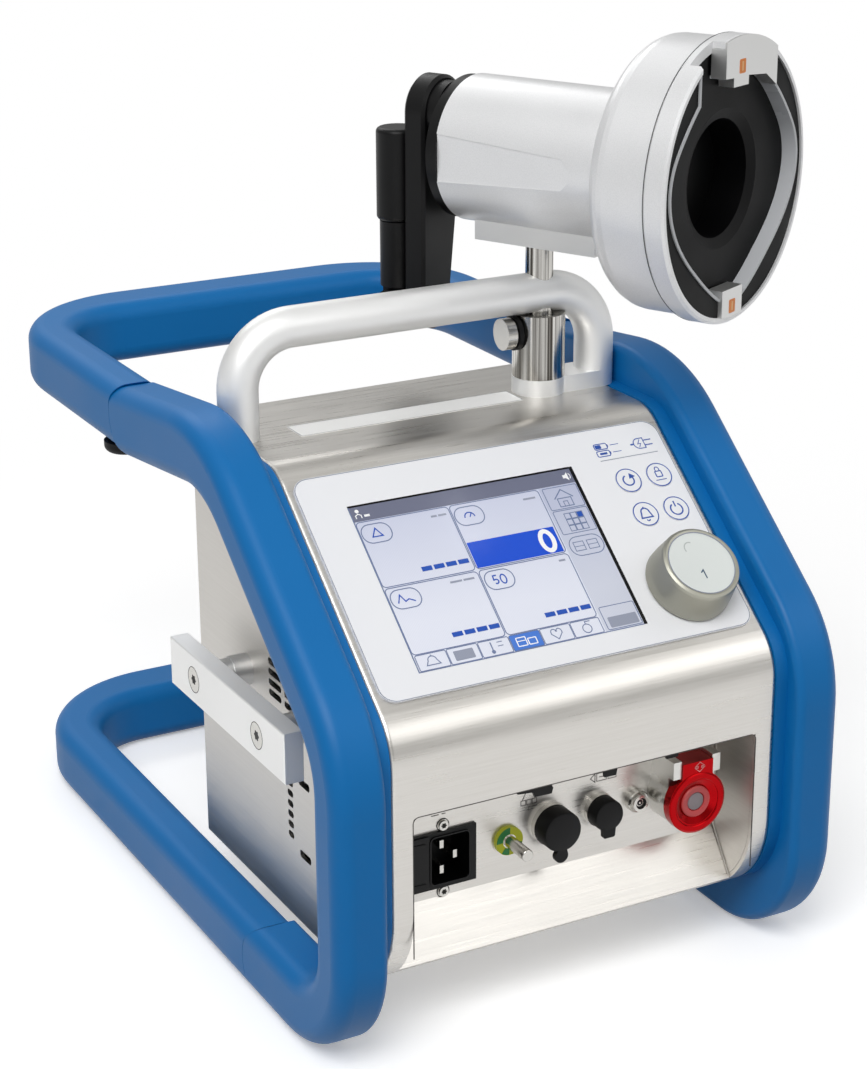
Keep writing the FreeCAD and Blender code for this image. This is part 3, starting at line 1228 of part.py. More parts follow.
def pump_connector():
    body = rod(PUMP_RADIUS, V(PUMP_X, COVER_BACK + SEAT, PUMP_Z), V(PUMP_X, BAY_BACK, PUMP_Z))
    knuckle_room = block((PUMP_X - COVER_HALF - SEAT, PUMP_X + COVER_HALF + SEAT),
                         (COVER_BACK, BAY_BACK - 4.5), (EAR_Z - KNUCKLE_REACH - SEAT, EAR_Z + 6))
    body = body.cut(knuckle_room)
    neck = rod(PUMP_RADIUS - 4, V(PUMP_X, BAY_BACK - 1, PUMP_Z), V(PUMP_X, BAY_BACK + 14, PUMP_Z))
    nut = hexagon(PUMP_RADIUS, PUMP_X, PUMP_Z, BAY_BACK + SHEET, BAY_BACK + SHEET + 4)
    bridge = block((PUMP_X - COVER_HALF - SEAT - EAR_WIDE, PUMP_X + COVER_HALF + SEAT + EAR_WIDE),
                   (BAY_BACK - 4.5, BAY_BACK), (PUMP_Z + 8, EAR_Z + 5))
    pieces = [body, neck, nut, bridge]
    for side in (-1, 1):
        inner = PUMP_X + side * (COVER_HALF + SEAT)
        outer = inner + side * EAR_WIDE
        xs = (min(inner, outer), max(inner, outer))
        pieces.append(block(xs, (COVER_FRONT + 1, COVER_BACK + SEAT), (EAR_Z - 4, EAR_Z + 5)))
        pieces.append(block(xs, (COVER_BACK + SEAT, BAY_BACK), (PUMP_Z + 8, EAR_Z + 5)))
    pieces.append(rod(PIN_THICK, V(PUMP_X - COVER_HALF - 2, EAR_Y, EAR_Z),
                      V(PUMP_X + COVER_HALF + 2, EAR_Y, EAR_Z)))
    whole = joined(pieces)
    return whole.cut(rod(PUMP_RADIUS - 6, V(PUMP_X, COVER_BACK, PUMP_Z), V(PUMP_X, BAY_BACK - 2, PUMP_Z)))


def red_cover():
    """A round lid that runs up into the hinge block between the ears."""
    lid = rod(PUMP_RADIUS + 0.4, V(PUMP_X, COVER_FRONT, PUMP_Z), V(PUMP_X, COVER_BACK, PUMP_Z))
    for side in (-1, 1):
        near = PUMP_X + side * COVER_HALF
        lid = lid.cut(rod(EAR_REACH, V(near, EAR_Y, EAR_Z), V(near + side * 12, EAR_Y, EAR_Z)))
    stem = block((PUMP_X - COVER_HALF, PUMP_X + COVER_HALF), (COVER_FRONT, COVER_BACK),
                 (PUMP_Z, EAR_Z + KNUCKLE_HALF))
    knuckle = block((PUMP_X - COVER_HALF, PUMP_X + COVER_HALF), (COVER_FRONT, EAR_Y + KNUCKLE_HALF),
                    (EAR_Z - KNUCKLE_HALF, EAR_Z + KNUCKLE_HALF))
    cover = joined([lid, stem, knuckle])
    cover = cover.cut(rod(PIN_THICK + SLIP, V(PUMP_X - 20, EAR_Y, EAR_Z), V(PUMP_X + 20, EAR_Y, EAR_Z)))
    dish = Part.makeCone(11.5, 8.0, 1.6, V(PUMP_X, COVER_FRONT, PUMP_Z), V(0, 1, 0))
    return cover.cut(dish)


export("pump_connector", pump_connector())
export("red_cover", red_cover())


# Inside the casing: shelf, batteries, power supply, fan and pump motor
SHELF_Z = 86.0
SHELF_HALF = CASE_HALF - SHEET - SEAT
SHELF_REAR = CASE_DEPTH - 6.0
shelf = joined([block((-SHELF_HALF, SHELF_HALF), (64, SHELF_REAR), (SHELF_Z, SHELF_Z + 2)),
                block((SHELF_HALF - 2, SHELF_HALF), (70, SHELF_REAR - 4), (SHELF_Z - 12, SHELF_Z + 2)),
                block((-SHELF_HALF, -SHELF_HALF + 2), (122, SHELF_REAR - 4), (SHELF_Z - 12, SHELF_Z + 2))])
shelf = shelf.cut(block((-SHELF_HALF - 1, -SHELF_HALF + 20.8), (60, 119), (SHELF_Z - 1, SHELF_Z + 3)))
export("chassis_shelf", shelf)

TRAY_Z = CASE_BOTTOM + SHEET
BATTERY_TALL = SHELF_Z - TRAY_Z - SEAT
batteries = [rounded_plate(48, 120, BATTERY_TALL, 3) for _ in range(2)]
for battery, x in zip(batteries, (-50.0, 2.0)):
    battery.translate(V(x, 130, TRAY_Z))
export("battery_packs", *batteries)

SUPPLY_RIGHT = SHELF_HALF - 4.8
SUPPLY_LEFT = SUPPLY_RIGHT - 62.0
SUPPLY_REAR = CASE_DEPTH - 20.0
supply = block((SUPPLY_LEFT, SUPPLY_RIGHT), (70, SUPPLY_REAR), (TRAY_Z, TRAY_Z + 42))
fins = []
for i in range(10):
    left = SUPPLY_LEFT + 6 * i
    fins.append(block((left, left + 3), (72, SUPPLY_REAR - 2), (TRAY_Z + 41, TRAY_Z + 50)))
export("power_supply", joined([supply] + fins))

# Fan behind the ring of vents
FAN_HALF = 25.0
FAN_DEEP = 15.0
FAN_OUT = -CASE_HALF + SHEET
fan_frame = block((FAN_OUT, FAN_OUT + FAN_DEEP), (FAN_Y - FAN_HALF, FAN_Y + FAN_HALF),
                  (FAN_Z - FAN_HALF, FAN_Z + FAN_HALF))


def fan_point(x):
    return V(x, FAN_Y, FAN_Z)


fan_frame = fan_frame.cut(rod(FAN_HALF - 2, fan_point(FAN_OUT - 1), fan_point(FAN_OUT + FAN_DEEP + 1)))
HUB_SEAT = 3.0
spokes = [rod(8, fan_point(FAN_OUT + FAN_DEEP - HUB_SEAT), fan_point(FAN_OUT + FAN_DEEP)),
          block((FAN_OUT + FAN_DEEP - HUB_SEAT, FAN_OUT + FAN_DEEP),
                (FAN_Y - FAN_HALF + 1, FAN_Y + FAN_HALF - 1), (FAN_Z - 2, FAN_Z + 2)),
          rod(1.5, fan_point(FAN_OUT + 3), fan_point(FAN_OUT + FAN_DEEP - 1))]
export("fan_frame", joined([fan_frame] + spokes))


def fan_rotor():
    low = FAN_OUT + 2.5
    high = FAN_OUT + FAN_DEEP - HUB_SEAT - 0.4
    hub = rod(9, fan_point(low), fan_point(high))
    blades = []
    for i in range(7):
        blade = block((low + 1, high - 1), (FAN_Y - 0.8, FAN_Y + 0.8), (FAN_Z + 7, FAN_Z + 21.5))
        blade.rotate(fan_point((low + high) / 2), V(0, 0, 1), 35)
        keep = rod(22.0, fan_point(low), fan_point(high))
        blade = blade.common(keep)
        blade.rotate(fan_point(0), V(1, 0, 0), 360 / 7 * i)
        blades.append(blade)
    return joined([hub] + blades).cut(rod(1.5 + SLIP, fan_point(low - 1), fan_point(high + 1)))


export("fan_rotor", fan_rotor())


# Pump motor on the shelf's rear bracket, and the rotor that turns behind the rear socket
def socket_point(y):
    return V(0, y, REAR_SOCKET_Z)


MOTOR_BACK = CASE_DEPTH - 18.0
MOTOR_FRONT = MOTOR_BACK - 42.0
MOTOR_RADIUS = 38.0
motor = joined([rod(MOTOR_RADIUS, socket_point(MOTOR_FRONT), socket_point(MOTOR_BACK)),
                block((-24, 24), (MOTOR_FRONT + 4, MOTOR_BACK - 4),
                      (SHELF_Z + 2, REAR_SOCKET_Z - 20))])
motor = motor.cut(rod(4 + SLIP, socket_point(MOTOR_BACK - 20), socket_point(MOTOR_BACK + 1)))
export("pump_motor", motor)

ROTOR_BACK = CASE_DEPTH - 4.0
rear_rotor = joined([rod(4, socket_point(MOTOR_BACK - 19), socket_point(ROTOR_BACK - 2)),
                     rod(30, socket_point(ROTOR_BACK - 8), socket_point(ROTOR_BACK))])
export("motor_rotor", rear_rotor)


# Rear drive socket: a black face with a round bore, fixed over the cover's opening
def rear_face():
    face = joined([rod(REAR_SOCKET_RADIUS, socket_point(CASE_DEPTH),
                       socket_point(CASE_DEPTH + REAR_SOCKET_DEEP)),
                   rod(REAR_SOCKET_RADIUS - 4 - SEAT, socket_point(CASE_DEPTH - COVER_THICK),
                       socket_point(CASE_DEPTH + 1))])
    rims = [e for e in face.Edges if e.Curve.TypeId == "Part::GeomCircle"
            and abs(e.Vertexes[0].Y - CASE_DEPTH - REAR_SOCKET_DEEP) < 0.01]
    face = face.makeChamfer(1.5, rims)
    face = face.cut(rod(REAR_BORE_RADIUS, socket_point(CASE_DEPTH - COVER_THICK + 1.5),
                        socket_point(CASE_DEPTH + 30)))
    recess = Part.makeCone(REAR_BORE_RADIUS, 46, 7, socket_point(CASE_DEPTH + REAR_SOCKET_DEEP - 7),
                           V(0, 1, 0))
    return face.cut(recess)


export("rear_drive_face", rear_face())


# Screws that hold the cover, the feet and the inlet
def case_screws():
    pieces = []
    half = CASE_HALF - 12
    for x in (-half, half):
        for z in (CASE_BOTTOM + 14, CASE_TOP - 14):
            pieces.append(rod(3.4, V(x, CASE_DEPTH, z), V(x, CASE_DEPTH + 2.2, z)))
    for z in (INLET_ZS[0] - 2.6, INLET_ZS[1] + 2.6):
        pieces.append(rod(2.4, V(POCKET_X - 3, BAY_BACK - 1.4, z), V(POCKET_X - 3, BAY_BACK, z)))
    return pieces


export("case_screws", *case_screws())
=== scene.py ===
import bpy
import bmesh
import math
from mathutils import Matrix, Vector


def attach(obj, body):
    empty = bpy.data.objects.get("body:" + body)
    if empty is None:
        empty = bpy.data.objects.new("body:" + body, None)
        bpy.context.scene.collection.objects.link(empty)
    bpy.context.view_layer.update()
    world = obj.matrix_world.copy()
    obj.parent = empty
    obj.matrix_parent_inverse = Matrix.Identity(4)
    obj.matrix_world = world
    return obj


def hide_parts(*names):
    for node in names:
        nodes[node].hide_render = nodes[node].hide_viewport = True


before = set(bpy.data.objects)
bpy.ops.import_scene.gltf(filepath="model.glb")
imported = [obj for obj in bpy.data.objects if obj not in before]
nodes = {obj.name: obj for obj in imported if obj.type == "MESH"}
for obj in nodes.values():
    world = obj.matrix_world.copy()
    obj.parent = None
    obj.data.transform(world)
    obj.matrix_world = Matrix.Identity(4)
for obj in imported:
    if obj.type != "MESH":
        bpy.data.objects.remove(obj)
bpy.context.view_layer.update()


# Photographer's place: a long lens, left of the console and a little above it. The camera
# stands where the vanishing lines of the casing and of the panel meet the measured sizes.
def radians(degrees):
    return math.radians(degrees)


camera_data = bpy.data.cameras.new("camera")
camera_data.sensor_fit = "HORIZONTAL"
camera_data.sensor_width = 36.0
camera_data.lens = 100.34
camera_data.clip_start = 0.05
camera = bpy.data.objects.new("camera", camera_data)
bpy.context.scene.collection.objects.link(camera)
turn = Matrix.Rotation(radians(-28.301), 4, "Z")
rise = Matrix.Rotation(radians(90 - 20.098), 4, "X")
roll = Matrix.Rotation(radians(-0.272), 4, "Z")
camera.matrix_world = Matrix.Translation((-0.5378, -0.8478, 0.6065)) @ turn @ rise @ roll
bpy.context.scene.camera = camera


# Studio: white paper under one large soft lamp from the left, a weaker one from the right, a
# strip behind and a card in front. The lens sees a white room, and metal sees grey flagged walls.
def linear(code):
    """An sRGB hex colour as linear RGBA."""
    parts = [int(code[i:i + 2], 16) / 255 for i in (1, 3, 5)]
    return tuple(p / 12.92 if p <= 0.04045 else ((p + 0.055) / 1.055) ** 2.4 for p in parts) + (1.0,)


def add(tree, kind, settings=None, inputs=None):
    """Add one shader node with its settings, values and links."""
    made = tree.nodes.new("ShaderNode" + kind)
    for name, value in (settings or {}).items():
        setattr(made, name, value)
    for name, value in (inputs or {}).items():
        socket = made.inputs[name]
        if isinstance(value, bpy.types.NodeSocket):
            tree.links.new(value, socket)
        else:
            socket.default_value = value
    return made


world = bpy.data.worlds.new("studio")
world.use_nodes = True
room = world.node_tree
room.nodes.clear()
WALL_FOOT = 0.66
FLAG_COUNT = 5.0
FLAG_SHADE = 0.60
ROOM_LIGHT = 0.34
direction = add(room, "SeparateXYZ", None, {"Vector": add(room, "TexCoord").outputs["Generated"]}).outputs
walls = add(room, "MapRange", None, {"Value": direction["Z"], "From Min": 0.15, "From Max": 0.85,
                                     "To Min": WALL_FOOT, "To Max": 1.0}).outputs["Result"]
heading = add(room, "Math", {"operation": "ARCTAN2"}, {0: direction["Y"], 1: direction["X"]}).outputs[0]
swing = add(room, "Math", {"operation": "MULTIPLY"}, {0: heading, 1: FLAG_COUNT}).outputs[0]
wave = add(room, "Math", {"operation": "SINE"}, {0: swing}).outputs[0]
flags = add(room, "MapRange", None, {"Value": wave, "From Min": -0.2, "From Max": 0.2,
                                     "To Min": FLAG_SHADE, "To Max": 1.0}).outputs["Result"]
lit_walls = add(room, "Math", {"operation": "MULTIPLY"}, {0: walls, 1: flags}).outputs[0]
path = add(room, "LightPath").outputs
seen = add(room, "Background", None, {"Color": linear("#FFFFFF"), "Strength": 1.0})
mirrored_room = add(room, "Background", None, {"Color": linear("#FBFBFA"), "Strength": lit_walls})
soft = add(room, "Background", None, {"Color": linear("#FFFFFF"), "Strength": ROOM_LIGHT})
gloss = add(room, "MixShader", None, {0: path["Is Glossy Ray"], 1: soft.outputs[0],
                                      2: mirrored_room.outputs[0]})
final = add(room, "MixShader", None, {0: path["Is Camera Ray"], 1: gloss.outputs[0],
                                      2: seen.outputs[0]})
add(room, "OutputWorld", None, {"Surface": final.outputs[0]})
bpy.context.scene.world = world
bpy.context.scene.view_settings.view_transform = "Standard"


def lamp(name, place, aim, wide, tall, power, card=False):
    """A softbox, or a white card that only shows as a reflection in metal and gloss."""
    light = bpy.data.lights.new(name, "AREA")
    light.shape = "RECTANGLE"
    light.size = wide
    light.size_y = tall
    light.energy = power
    holder = bpy.data.objects.new(name, light)
    bpy.context.scene.collection.objects.link(holder)
    holder.location = place
    holder.rotation_euler = (Vector(aim) - Vector(place)).to_track_quat("-Z", "Y").to_euler()
    holder.visible_diffuse = not card


lamp("key_softbox", (-0.9, -0.9, 1.7), (0.0, 0.15, 0.2), 1.1, 1.1, 25.0)
lamp("side_softbox", (1.5, -0.5, 1.1), (0.0, 0.1, 0.2), 0.8, 1.2, 3.0)
lamp("back_strip", (0.1, 1.7, 1.5), (0.0, 0.2, 0.2), 1.4, 0.4, 6.0)
lamp("front_card", (0.50, -0.70, 0.78), (0.0, 0.02, 0.1), 0.9, 0.45, 1.7, True)


PAPER_LIFT = 0.30
PAPER_BOUNCE = "#A0A0A0"
FLOOR_REACH = 6
FLOOR_DROP = 0.0005


def paper_floor():
    """White paper that keeps the shadow near the console and is plain white further out.

    It throws back less light than it shows, so that undersides stay in shade.
    """
    made = bpy.data.materials.new("white_paper")
    made.use_nodes = True
    tree = made.node_tree
    tree.nodes.clear()
    place = add(tree, "NewGeometry").outputs["Position"]
    reach = add(tree, "VectorMath", {"operation": "LENGTH"}, {0: place}).outputs["Value"]
    far = add(tree, "MapRange", {"interpolation_type": "SMOOTHSTEP"},
              {"Value": reach, "From Min": 0.35, "From Max": 1.0}).outputs["Result"]
    ray = add(tree, "LightPath").outputs
    eye = add(tree, "Math", {"operation": "MAXIMUM"},
              {0: ray["Is Camera Ray"], 1: ray["Is Glossy Ray"]}).outputs[0]
    looks = add(tree, "Math", {"operation": "MAXIMUM"},
                {0: eye, 1: ray["Is Transmission Ray"]}).outputs[0]
    blend = add(tree, "Math", {"operation": "MULTIPLY"}, {0: far, 1: looks}).outputs[0]
    lift = add(tree, "Math", {"operation": "MULTIPLY"}, {0: looks, 1: PAPER_LIFT}).outputs[0]
    bounce = add(tree, "MixRGB", None, {"Fac": looks, "Color1": linear(PAPER_BOUNCE),
                                        "Color2": linear("#FFFFFF")})
    paper = add(tree, "BsdfDiffuse", None, {"Color": bounce.outputs[0]})
    glow = add(tree, "Emission", None, {"Color": linear("#FFFFFF"), "Strength": lift})
    near = add(tree, "AddShader", None, {0: paper.outputs[0], 1: glow.outputs[0]})
    white = add(tree, "Emission", None, {"Color": linear("#FFFFFF"), "Strength": 1.0})
    whole = add(tree, "MixShader", None, {0: blend, 1: near.outputs[0], 2: white.outputs[0]})
    add(tree, "OutputMaterial", None, {"Surface": whole.outputs[0]})
    return made


floor_mesh = bpy.data.meshes.new("floor")
floor_mesh.from_pydata([(-FLOOR_REACH, -FLOOR_REACH, 0), (FLOOR_REACH, -FLOOR_REACH, 0),
                        (FLOOR_REACH, FLOOR_REACH, 0), (-FLOOR_REACH, FLOOR_REACH, 0)], [], [(0, 1, 2, 3)])
floor = bpy.data.objects.new("floor", floor_mesh)
bpy.context.scene.collection.objects.link(floor)
floor_mesh.materials.append(paper_floor())
floor.location.z = -FLOOR_DROP


# Casing: cold-rolled stainless sheet, brushed along its length, folded over rounded bends and
# welded to the sides. The brushing smears every reflection across the grain.
def finish_of(name, colour, **values):
    """A new material of one real finish, as (material, node tree, shader)."""
    made = bpy.data.materials.new(name)
    made.use_nodes = True
    tree = made.node_tree
    shader = tree.nodes["Principled BSDF"]
    shader.inputs["Base Color"].default_value = linear(colour)
    for key, value in values.items():
        shader.inputs[key.replace("_", " ")].default_value = value
    return made, tree, shader


SCRATCHES_ALONG = 22
SCRATCHES_ACROSS = 900
WALL_DULLER = 0.16


def brushed_steel(name, colour, dark, rough):
    """Stainless sheet: 45 mm scratches 1.1 mm apart, drawn coarser than a 240 grit brush.

    They run left to right on the folded sheet and front to back on the duller side walls.
    """
    made, tree, shader = finish_of(name, colour, Metallic=1.0)
    coordinates = add(tree, "TexCoord").outputs
    facing = add(tree, "SeparateXYZ", None, {"Vector": coordinates["Normal"]}).outputs["X"]
    sideways = add(tree, "Math", {"operation": "ABSOLUTE"}, {0: facing}).outputs[0]
    wall = add(tree, "Math", {"operation": "GREATER_THAN"}, {0: sideways, 1: 0.7}).outputs[0]
    change = SCRATCHES_ACROSS - SCRATCHES_ALONG
    swap = add(tree, "VectorMath", {"operation": "SCALE"},
               {0: (change, -change, 0), "Scale": wall}).outputs[0]
    grain = add(tree, "VectorMath", {"operation": "ADD"},
                {0: swap, 1: (SCRATCHES_ALONG, SCRATCHES_ACROSS, SCRATCHES_ACROSS)}).outputs[0]
    along = add(tree, "VectorMath", {"operation": "MULTIPLY"},
                {0: coordinates["Object"], 1: grain}).outputs[0]
    lines = add(tree, "TexNoise", None, {"Vector": along, "Scale": 1.0, "Detail": 4.0, "Roughness": 0.6})
    clouds = add(tree, "TexNoise", None, {"Vector": coordinates["Object"], "Scale": 14.0, "Detail": 3.0})
    tone = add(tree, "Math", {"operation": "MULTIPLY_ADD"},
               {0: lines.outputs["Fac"], 1: 0.7, 2: 0.1}).outputs[0]
    shade = add(tree, "MixRGB", None, {"Fac": tone, "Color1": linear(dark), "Color2": linear(colour)})
    tree.links.new(shade.outputs[0], shader.inputs["Base Color"])
    scratched = add(tree, "MapRange", None, {"Value": lines.outputs["Fac"], "From Min": 0.3,
                                             "From Max": 0.7, "To Min": rough - 0.05,
                                             "To Max": rough + 0.07}).outputs["Result"]
    uneven = add(tree, "Math", {"operation": "MULTIPLY_ADD"},
                 {0: clouds.outputs["Fac"], 1: 0.12, 2: scratched})
    duller = add(tree, "Math", {"operation": "MULTIPLY_ADD"}, {0: wall, 1: WALL_DULLER, 2: uneven.outputs[0]})
    tree.links.new(duller.outputs[0], shader.inputs["Roughness"])
    relief = add(tree, "Bump", None, {"Height": lines.outputs["Fac"], "Strength": 0.12,
                                      "Distance": 0.0003})
    tree.links.new(relief.outputs[0], shader.inputs["Normal"])
    return made


stainless = brushed_steel("stainless_sheet_brushed", "#DCDAD6", "#BDB9B3", 0.25)


def dress(material, *names):
    """Give CAD nodes their real finish."""
    for name in names:
        mesh = nodes[name].data
        for index in range(len(mesh.materials)):
            mesh.materials[index] = material
        if not mesh.materials:
            mesh.materials.append(material)


dress(stainless, "casing_shell", "rear_cover", "connector_bay", "chassis_shelf")


# Screws, shafts and small machined fittings: stainless and free-cutting steel, turned and then
# tumbled. The tumbling leaves an even fine grain, so a highlight has a soft edge.
def blasted_metal(name, colour, rough, grain_mm, depth):
    """Metal with an even, directionless grain left by blasting, tumbling or anodising."""
    made, tree, shader = finish_of(name, colour, Metallic=1.0)
    place = add(tree, "TexCoord").outputs["Object"]
    beads = add(tree, "TexNoise", None, {"Vector": place, "Scale": 1000 / grain_mm, "Detail": 2.0})
    clouds = add(tree, "TexNoise", None, {"Vector": place, "Scale": 25.0, "Detail": 2.0})
    gloss = add(tree, "MapRange", None, {"Value": clouds.outputs["Fac"], "From Min": 0.3, "From Max": 0.7,
                                         "To Min": rough - 0.04, "To Max": rough + 0.06})
    tree.links.new(gloss.outputs["Result"], shader.inputs["Roughness"])
    relief = add(tree, "Bump", None, {"Height": beads.outputs["Fac"], "Strength": depth,
                                      "Distance": 0.0002})
    tree.links.new(relief.outputs[0], shader.inputs["Normal"])
    return made


turned_steel = blasted_metal("stainless_turned", "#C4C2BD", 0.20, 0.9, 0.06)
dress(turned_steel, "clamp_screw", "rail_screws", "case_screws", "earth_stud", "inlet_pins", "lay_shaft",
      "crank_shaft", "rotor_shaft", "bay_sockets", "power_supply", "pump_motor", "magnet_rotor",
      "motor_rotor")
bronze = blasted_metal("bronze_sintered", "#B98A45", 0.34, 0.6, 0.10)
dress(bronze, "gear_plate", "shaft_bearings")


BLACK_BELOW = 0.01
BLACK_SHINE = 0.22


def moulded(name, colour, rough, grit_mm, depth=0.12):
    """Moulded plastic or rubber with its tool's spark-eroded grain, black ones with less shine."""
    made, tree, shader = finish_of(name, colour)
    if linear(colour)[1] < BLACK_BELOW:
        shader.inputs["Specular IOR Level"].default_value = BLACK_SHINE
    place = add(tree, "TexCoord").outputs["Object"]
    grain = add(tree, "TexNoise", None, {"Vector": place, "Scale": 1000 / grit_mm, "Detail": 2.0})
    clouds = add(tree, "TexNoise", None, {"Vector": place, "Scale": 30.0, "Detail": 3.0})
    gloss = add(tree, "MapRange", None, {"Value": clouds.outputs["Fac"], "From Min": 0.3, "From Max": 0.7,
                                         "To Min": rough - 0.05, "To Max": rough + 0.05})
    tree.links.new(gloss.outputs["Result"], shader.inputs["Roughness"])
    relief = add(tree, "Bump", None, {"Height": grain.outputs["Fac"], "Strength": depth,
                                      "Distance": 0.0002})
    tree.links.new(relief.outputs[0], shader.inputs["Normal"])
    return made


black_abs = moulded("abs_moulded_black", "#0B0B0C", 0.38, 0.8)
dress(black_abs, "fan_frame", "fan_rotor", "control_electronics", "battery_packs")


# Rating strip on the top: a bare white polyester label, laid flat in front of the handle. Its
# film is smooth, so it shows as a clean edge with a soft shine and nothing printed on it. A grey
# line just inside that edge is painted shade.
def on_face(centre, out, up):
    """A place function for pieces on a face: across, up and out from it, in millimetres."""
    centre = Vector(centre)
    out = Vector(out).normalized()
    up = Vector(up).normalized()
    across = up.cross(out)
    return lambda a, b, c: (centre + across * a + up * b + out * c) / 1000


def keep(name, work, material, body):
    """Turn a finished bmesh into a piece that rides on a body."""
    bmesh.ops.recalc_face_normals(work, faces=work.faces)
    mesh = bpy.data.meshes.new(name)
    work.to_mesh(mesh)
    work.free()
    mesh.materials.append(material)
    piece = bpy.data.objects.new(name, mesh)
    bpy.context.scene.collection.objects.link(piece)
    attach(piece, body)
    return piece


def plate(name, shapes, place, low, high, material, body):
    """Thin closed plates: each shape is a list of flat outlines, raised from low to high."""
    work = bmesh.new()
    for outlines in shapes:
        corners = {}
        edges = set()
        rings = [[(round(a, 4), round(b, 4)) for a, b in outline] for outline in outlines]
        for outline in rings:
            for point in outline:
                if point not in corners:
                    corners[point] = (work.verts.new(place(*point, low)), work.verts.new(place(*point, high)))
            edges.update(zip(outline, outline[1:] + outline[:1]))
        for outline in rings:
            work.faces.new([corners[point][1] for point in outline])
            work.faces.new([corners[point][0] for point in reversed(outline)])
        for first, last in edges:
            if (last, first) not in edges:
                work.faces.new([corners[first][0], corners[last][0], corners[last][1], corners[first][1]])
    return keep(name, work, material, body)


def arc(across, up, radius, start, end, steps=16, flat=1.0):
    """Points along an arc, in degrees."""
    turns = [radians(start + (end - start) * i / steps) for i in range(steps + 1)]
    return [(across + radius * math.cos(t), up + radius * flat * math.sin(t)) for t in turns]


def circle(across, up, radius, steps=40):
    return arc(across, up, radius, 0, 360 - 360 / steps, steps - 1)


def box(left, low, right, high, radius=0.0):
    """The outline of a box with rounded corners."""
    if radius <= 0:
        return [(left, low), (right, low), (right, high), (left, high)]
    return (arc(right - radius, low + radius, radius, -90, 0, 6)
            + arc(right - radius, high - radius, radius, 0, 90, 6)
            + arc(left + radius, high - radius, radius, 90, 180, 6)
            + arc(left + radius, low + radius, radius, 180, 270, 6))


def line(points, width, closed=False):
    """A drawn line of even width, one four-sided outline for each stretch."""
    left = []
    right = []
    count = len(points)
    for i, point in enumerate(points):
        here = Vector(point)
        before = here - Vector(points[i - 1]) if closed or i else None
        after = Vector(points[(i + 1) % count]) - here if closed or i < count - 1 else None
        before = (before or after).normalized()
        after = (after or before).normalized()
        across = Vector((-(before + after).y, (before + after).x)).normalized()
        lean = max(0.4, across.dot(Vector((-before.y, before.x))))
        left.append(tuple(here + across * (width / 2 / lean)))
        right.append(tuple(here - across * (width / 2 / lean)))
    last = count if closed else count - 1
    return [[left[i], right[i], right[(i + 1) % count], left[(i + 1) % count]] for i in range(last)]


TOP_HEIGHT = 254
on_top = on_face((0, 0, TOP_HEIGHT), (0, 0, 1), (0, 1, 0))
label_film = moulded("polyester_label_white", "#F4F4F2", 0.32, 1.5, 0.05)
plate("rating_strip", [[box(-71.5, 150.5, 51.5, 168.0, 1.2)]], on_top, 0.0, 0.25, label_film, "console")
# The grey line round the label is painted shade at its edge, not print.
label_edge_shade = moulded("label_edge_painted_shade", "#8F9092", 0.45, 1.0)
plate("rating_strip_edge_shade", [line(box(-71.2, 150.8, 51.2, 167.7, 1.1), 0.4, True)], on_top, 0.2, 0.3,
      label_edge_shade, "console")


# Connector bay: the tray is folded from the same sheet and welded at its inner corners. A bead
# of weld runs down each corner, and a thin dark line round the mouth is painted shade in the gap.
def rope(name, points, radius, material, body):
    """A round bead or wire along a few points, in millimetres."""
    curve = bpy.data.curves.new(name, "CURVE")
    curve.dimensions = "3D"
    curve.bevel_depth = radius / 1000
    curve.bevel_resolution = 3
    curve.use_fill_caps = True
    run = curve.splines.new("POLY")
    run.points.add(len(points) - 1)
    for knot, point in zip(run.points, points):
        knot.co = (point[0] / 1000, point[1] / 1000, point[2] / 1000, 1)
    curve.materials.append(material)
    piece = bpy.data.objects.new(name, curve)
    bpy.context.scene.collection.objects.link(piece)
    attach(piece, body)


BAY_HALF = 92.2
BAY_BACK = 32
BEAD = 0.55
weld_bead = blasted_metal("stainless_weld_bead", "#B5B1AA", 0.32, 1.2, 0.25)
for side, label in ((-1, "left"), (1, "right")):
    corner = side * (BAY_HALF - 0.5)
    rope("bay_weld_" + label, [(corner, 31.4, 110), (corner, 31.4, 61.4), (corner, 16.6, 39.4)], BEAD,
         weld_bead, "console")
on_front = on_face((0, 0, 0), (0, -1, 0), (0, 0, 1))
# The dark grey line round the mouth is painted shade in the gap, not sealant.
gap_shadow = moulded("mouth_gap_painted_shade", "#45423E", 0.6, 0.8)
MOUTH_RADIUS = 3.0
mouth = ([(-BAY_HALF, 52)] + arc(-89.2, 119.6, MOUTH_RADIUS, 180, 90, 6)
         + arc(89.2, 119.6, MOUTH_RADIUS, 90, 0, 6) + [(BAY_HALF, 52)])
plate("bay_mouth_seam", [line(mouth, 0.45)], on_front, -0.3, 0.06, gap_shadow, "console")

# Black plates under the bay's upper edge, of black moulded nylon, with a thin etched symbol below
# on the back wall. They show as short black notches in the bright edge.
black_nylon = moulded("nylon_moulded_black", "#060607", 0.40, 0.8)
BAY_EDGE = 122.3
edge_notches = [[(-37.5, BAY_EDGE), (-37.5, 120.4), (-29.5, 119.6), (-28.3, 117.0), (-19.5, 116.8), (-18.8, 119.5),
         (-20.0, BAY_EDGE)],
        [(8.2, BAY_EDGE), (8.8, 118.2), (15.2, 118.0), (16.0, BAY_EDGE)],
        [(42.5, BAY_EDGE), (43.0, 119.6), (49.3, 119.6), (49.8, BAY_EDGE)],
        [(-71.0, BAY_EDGE), (-71.0, 121.3), (-66.5, 121.2), (-66.5, BAY_EDGE)],
        [(-65.2, BAY_EDGE), (-65.2, 121.2), (-60.5, 121.1), (-60.5, BAY_EDGE)]]
plate("bay_edge_notches", [[outline] for outline in edge_notches], on_front, -3.4, -2.1, black_nylon, "console")
on_back = on_face((0, BAY_BACK, 0), (0, -1, 0), (0, 0, 1))
etched = moulded("etched_symbol_grey", "#6E6A66", 0.55, 0.6)
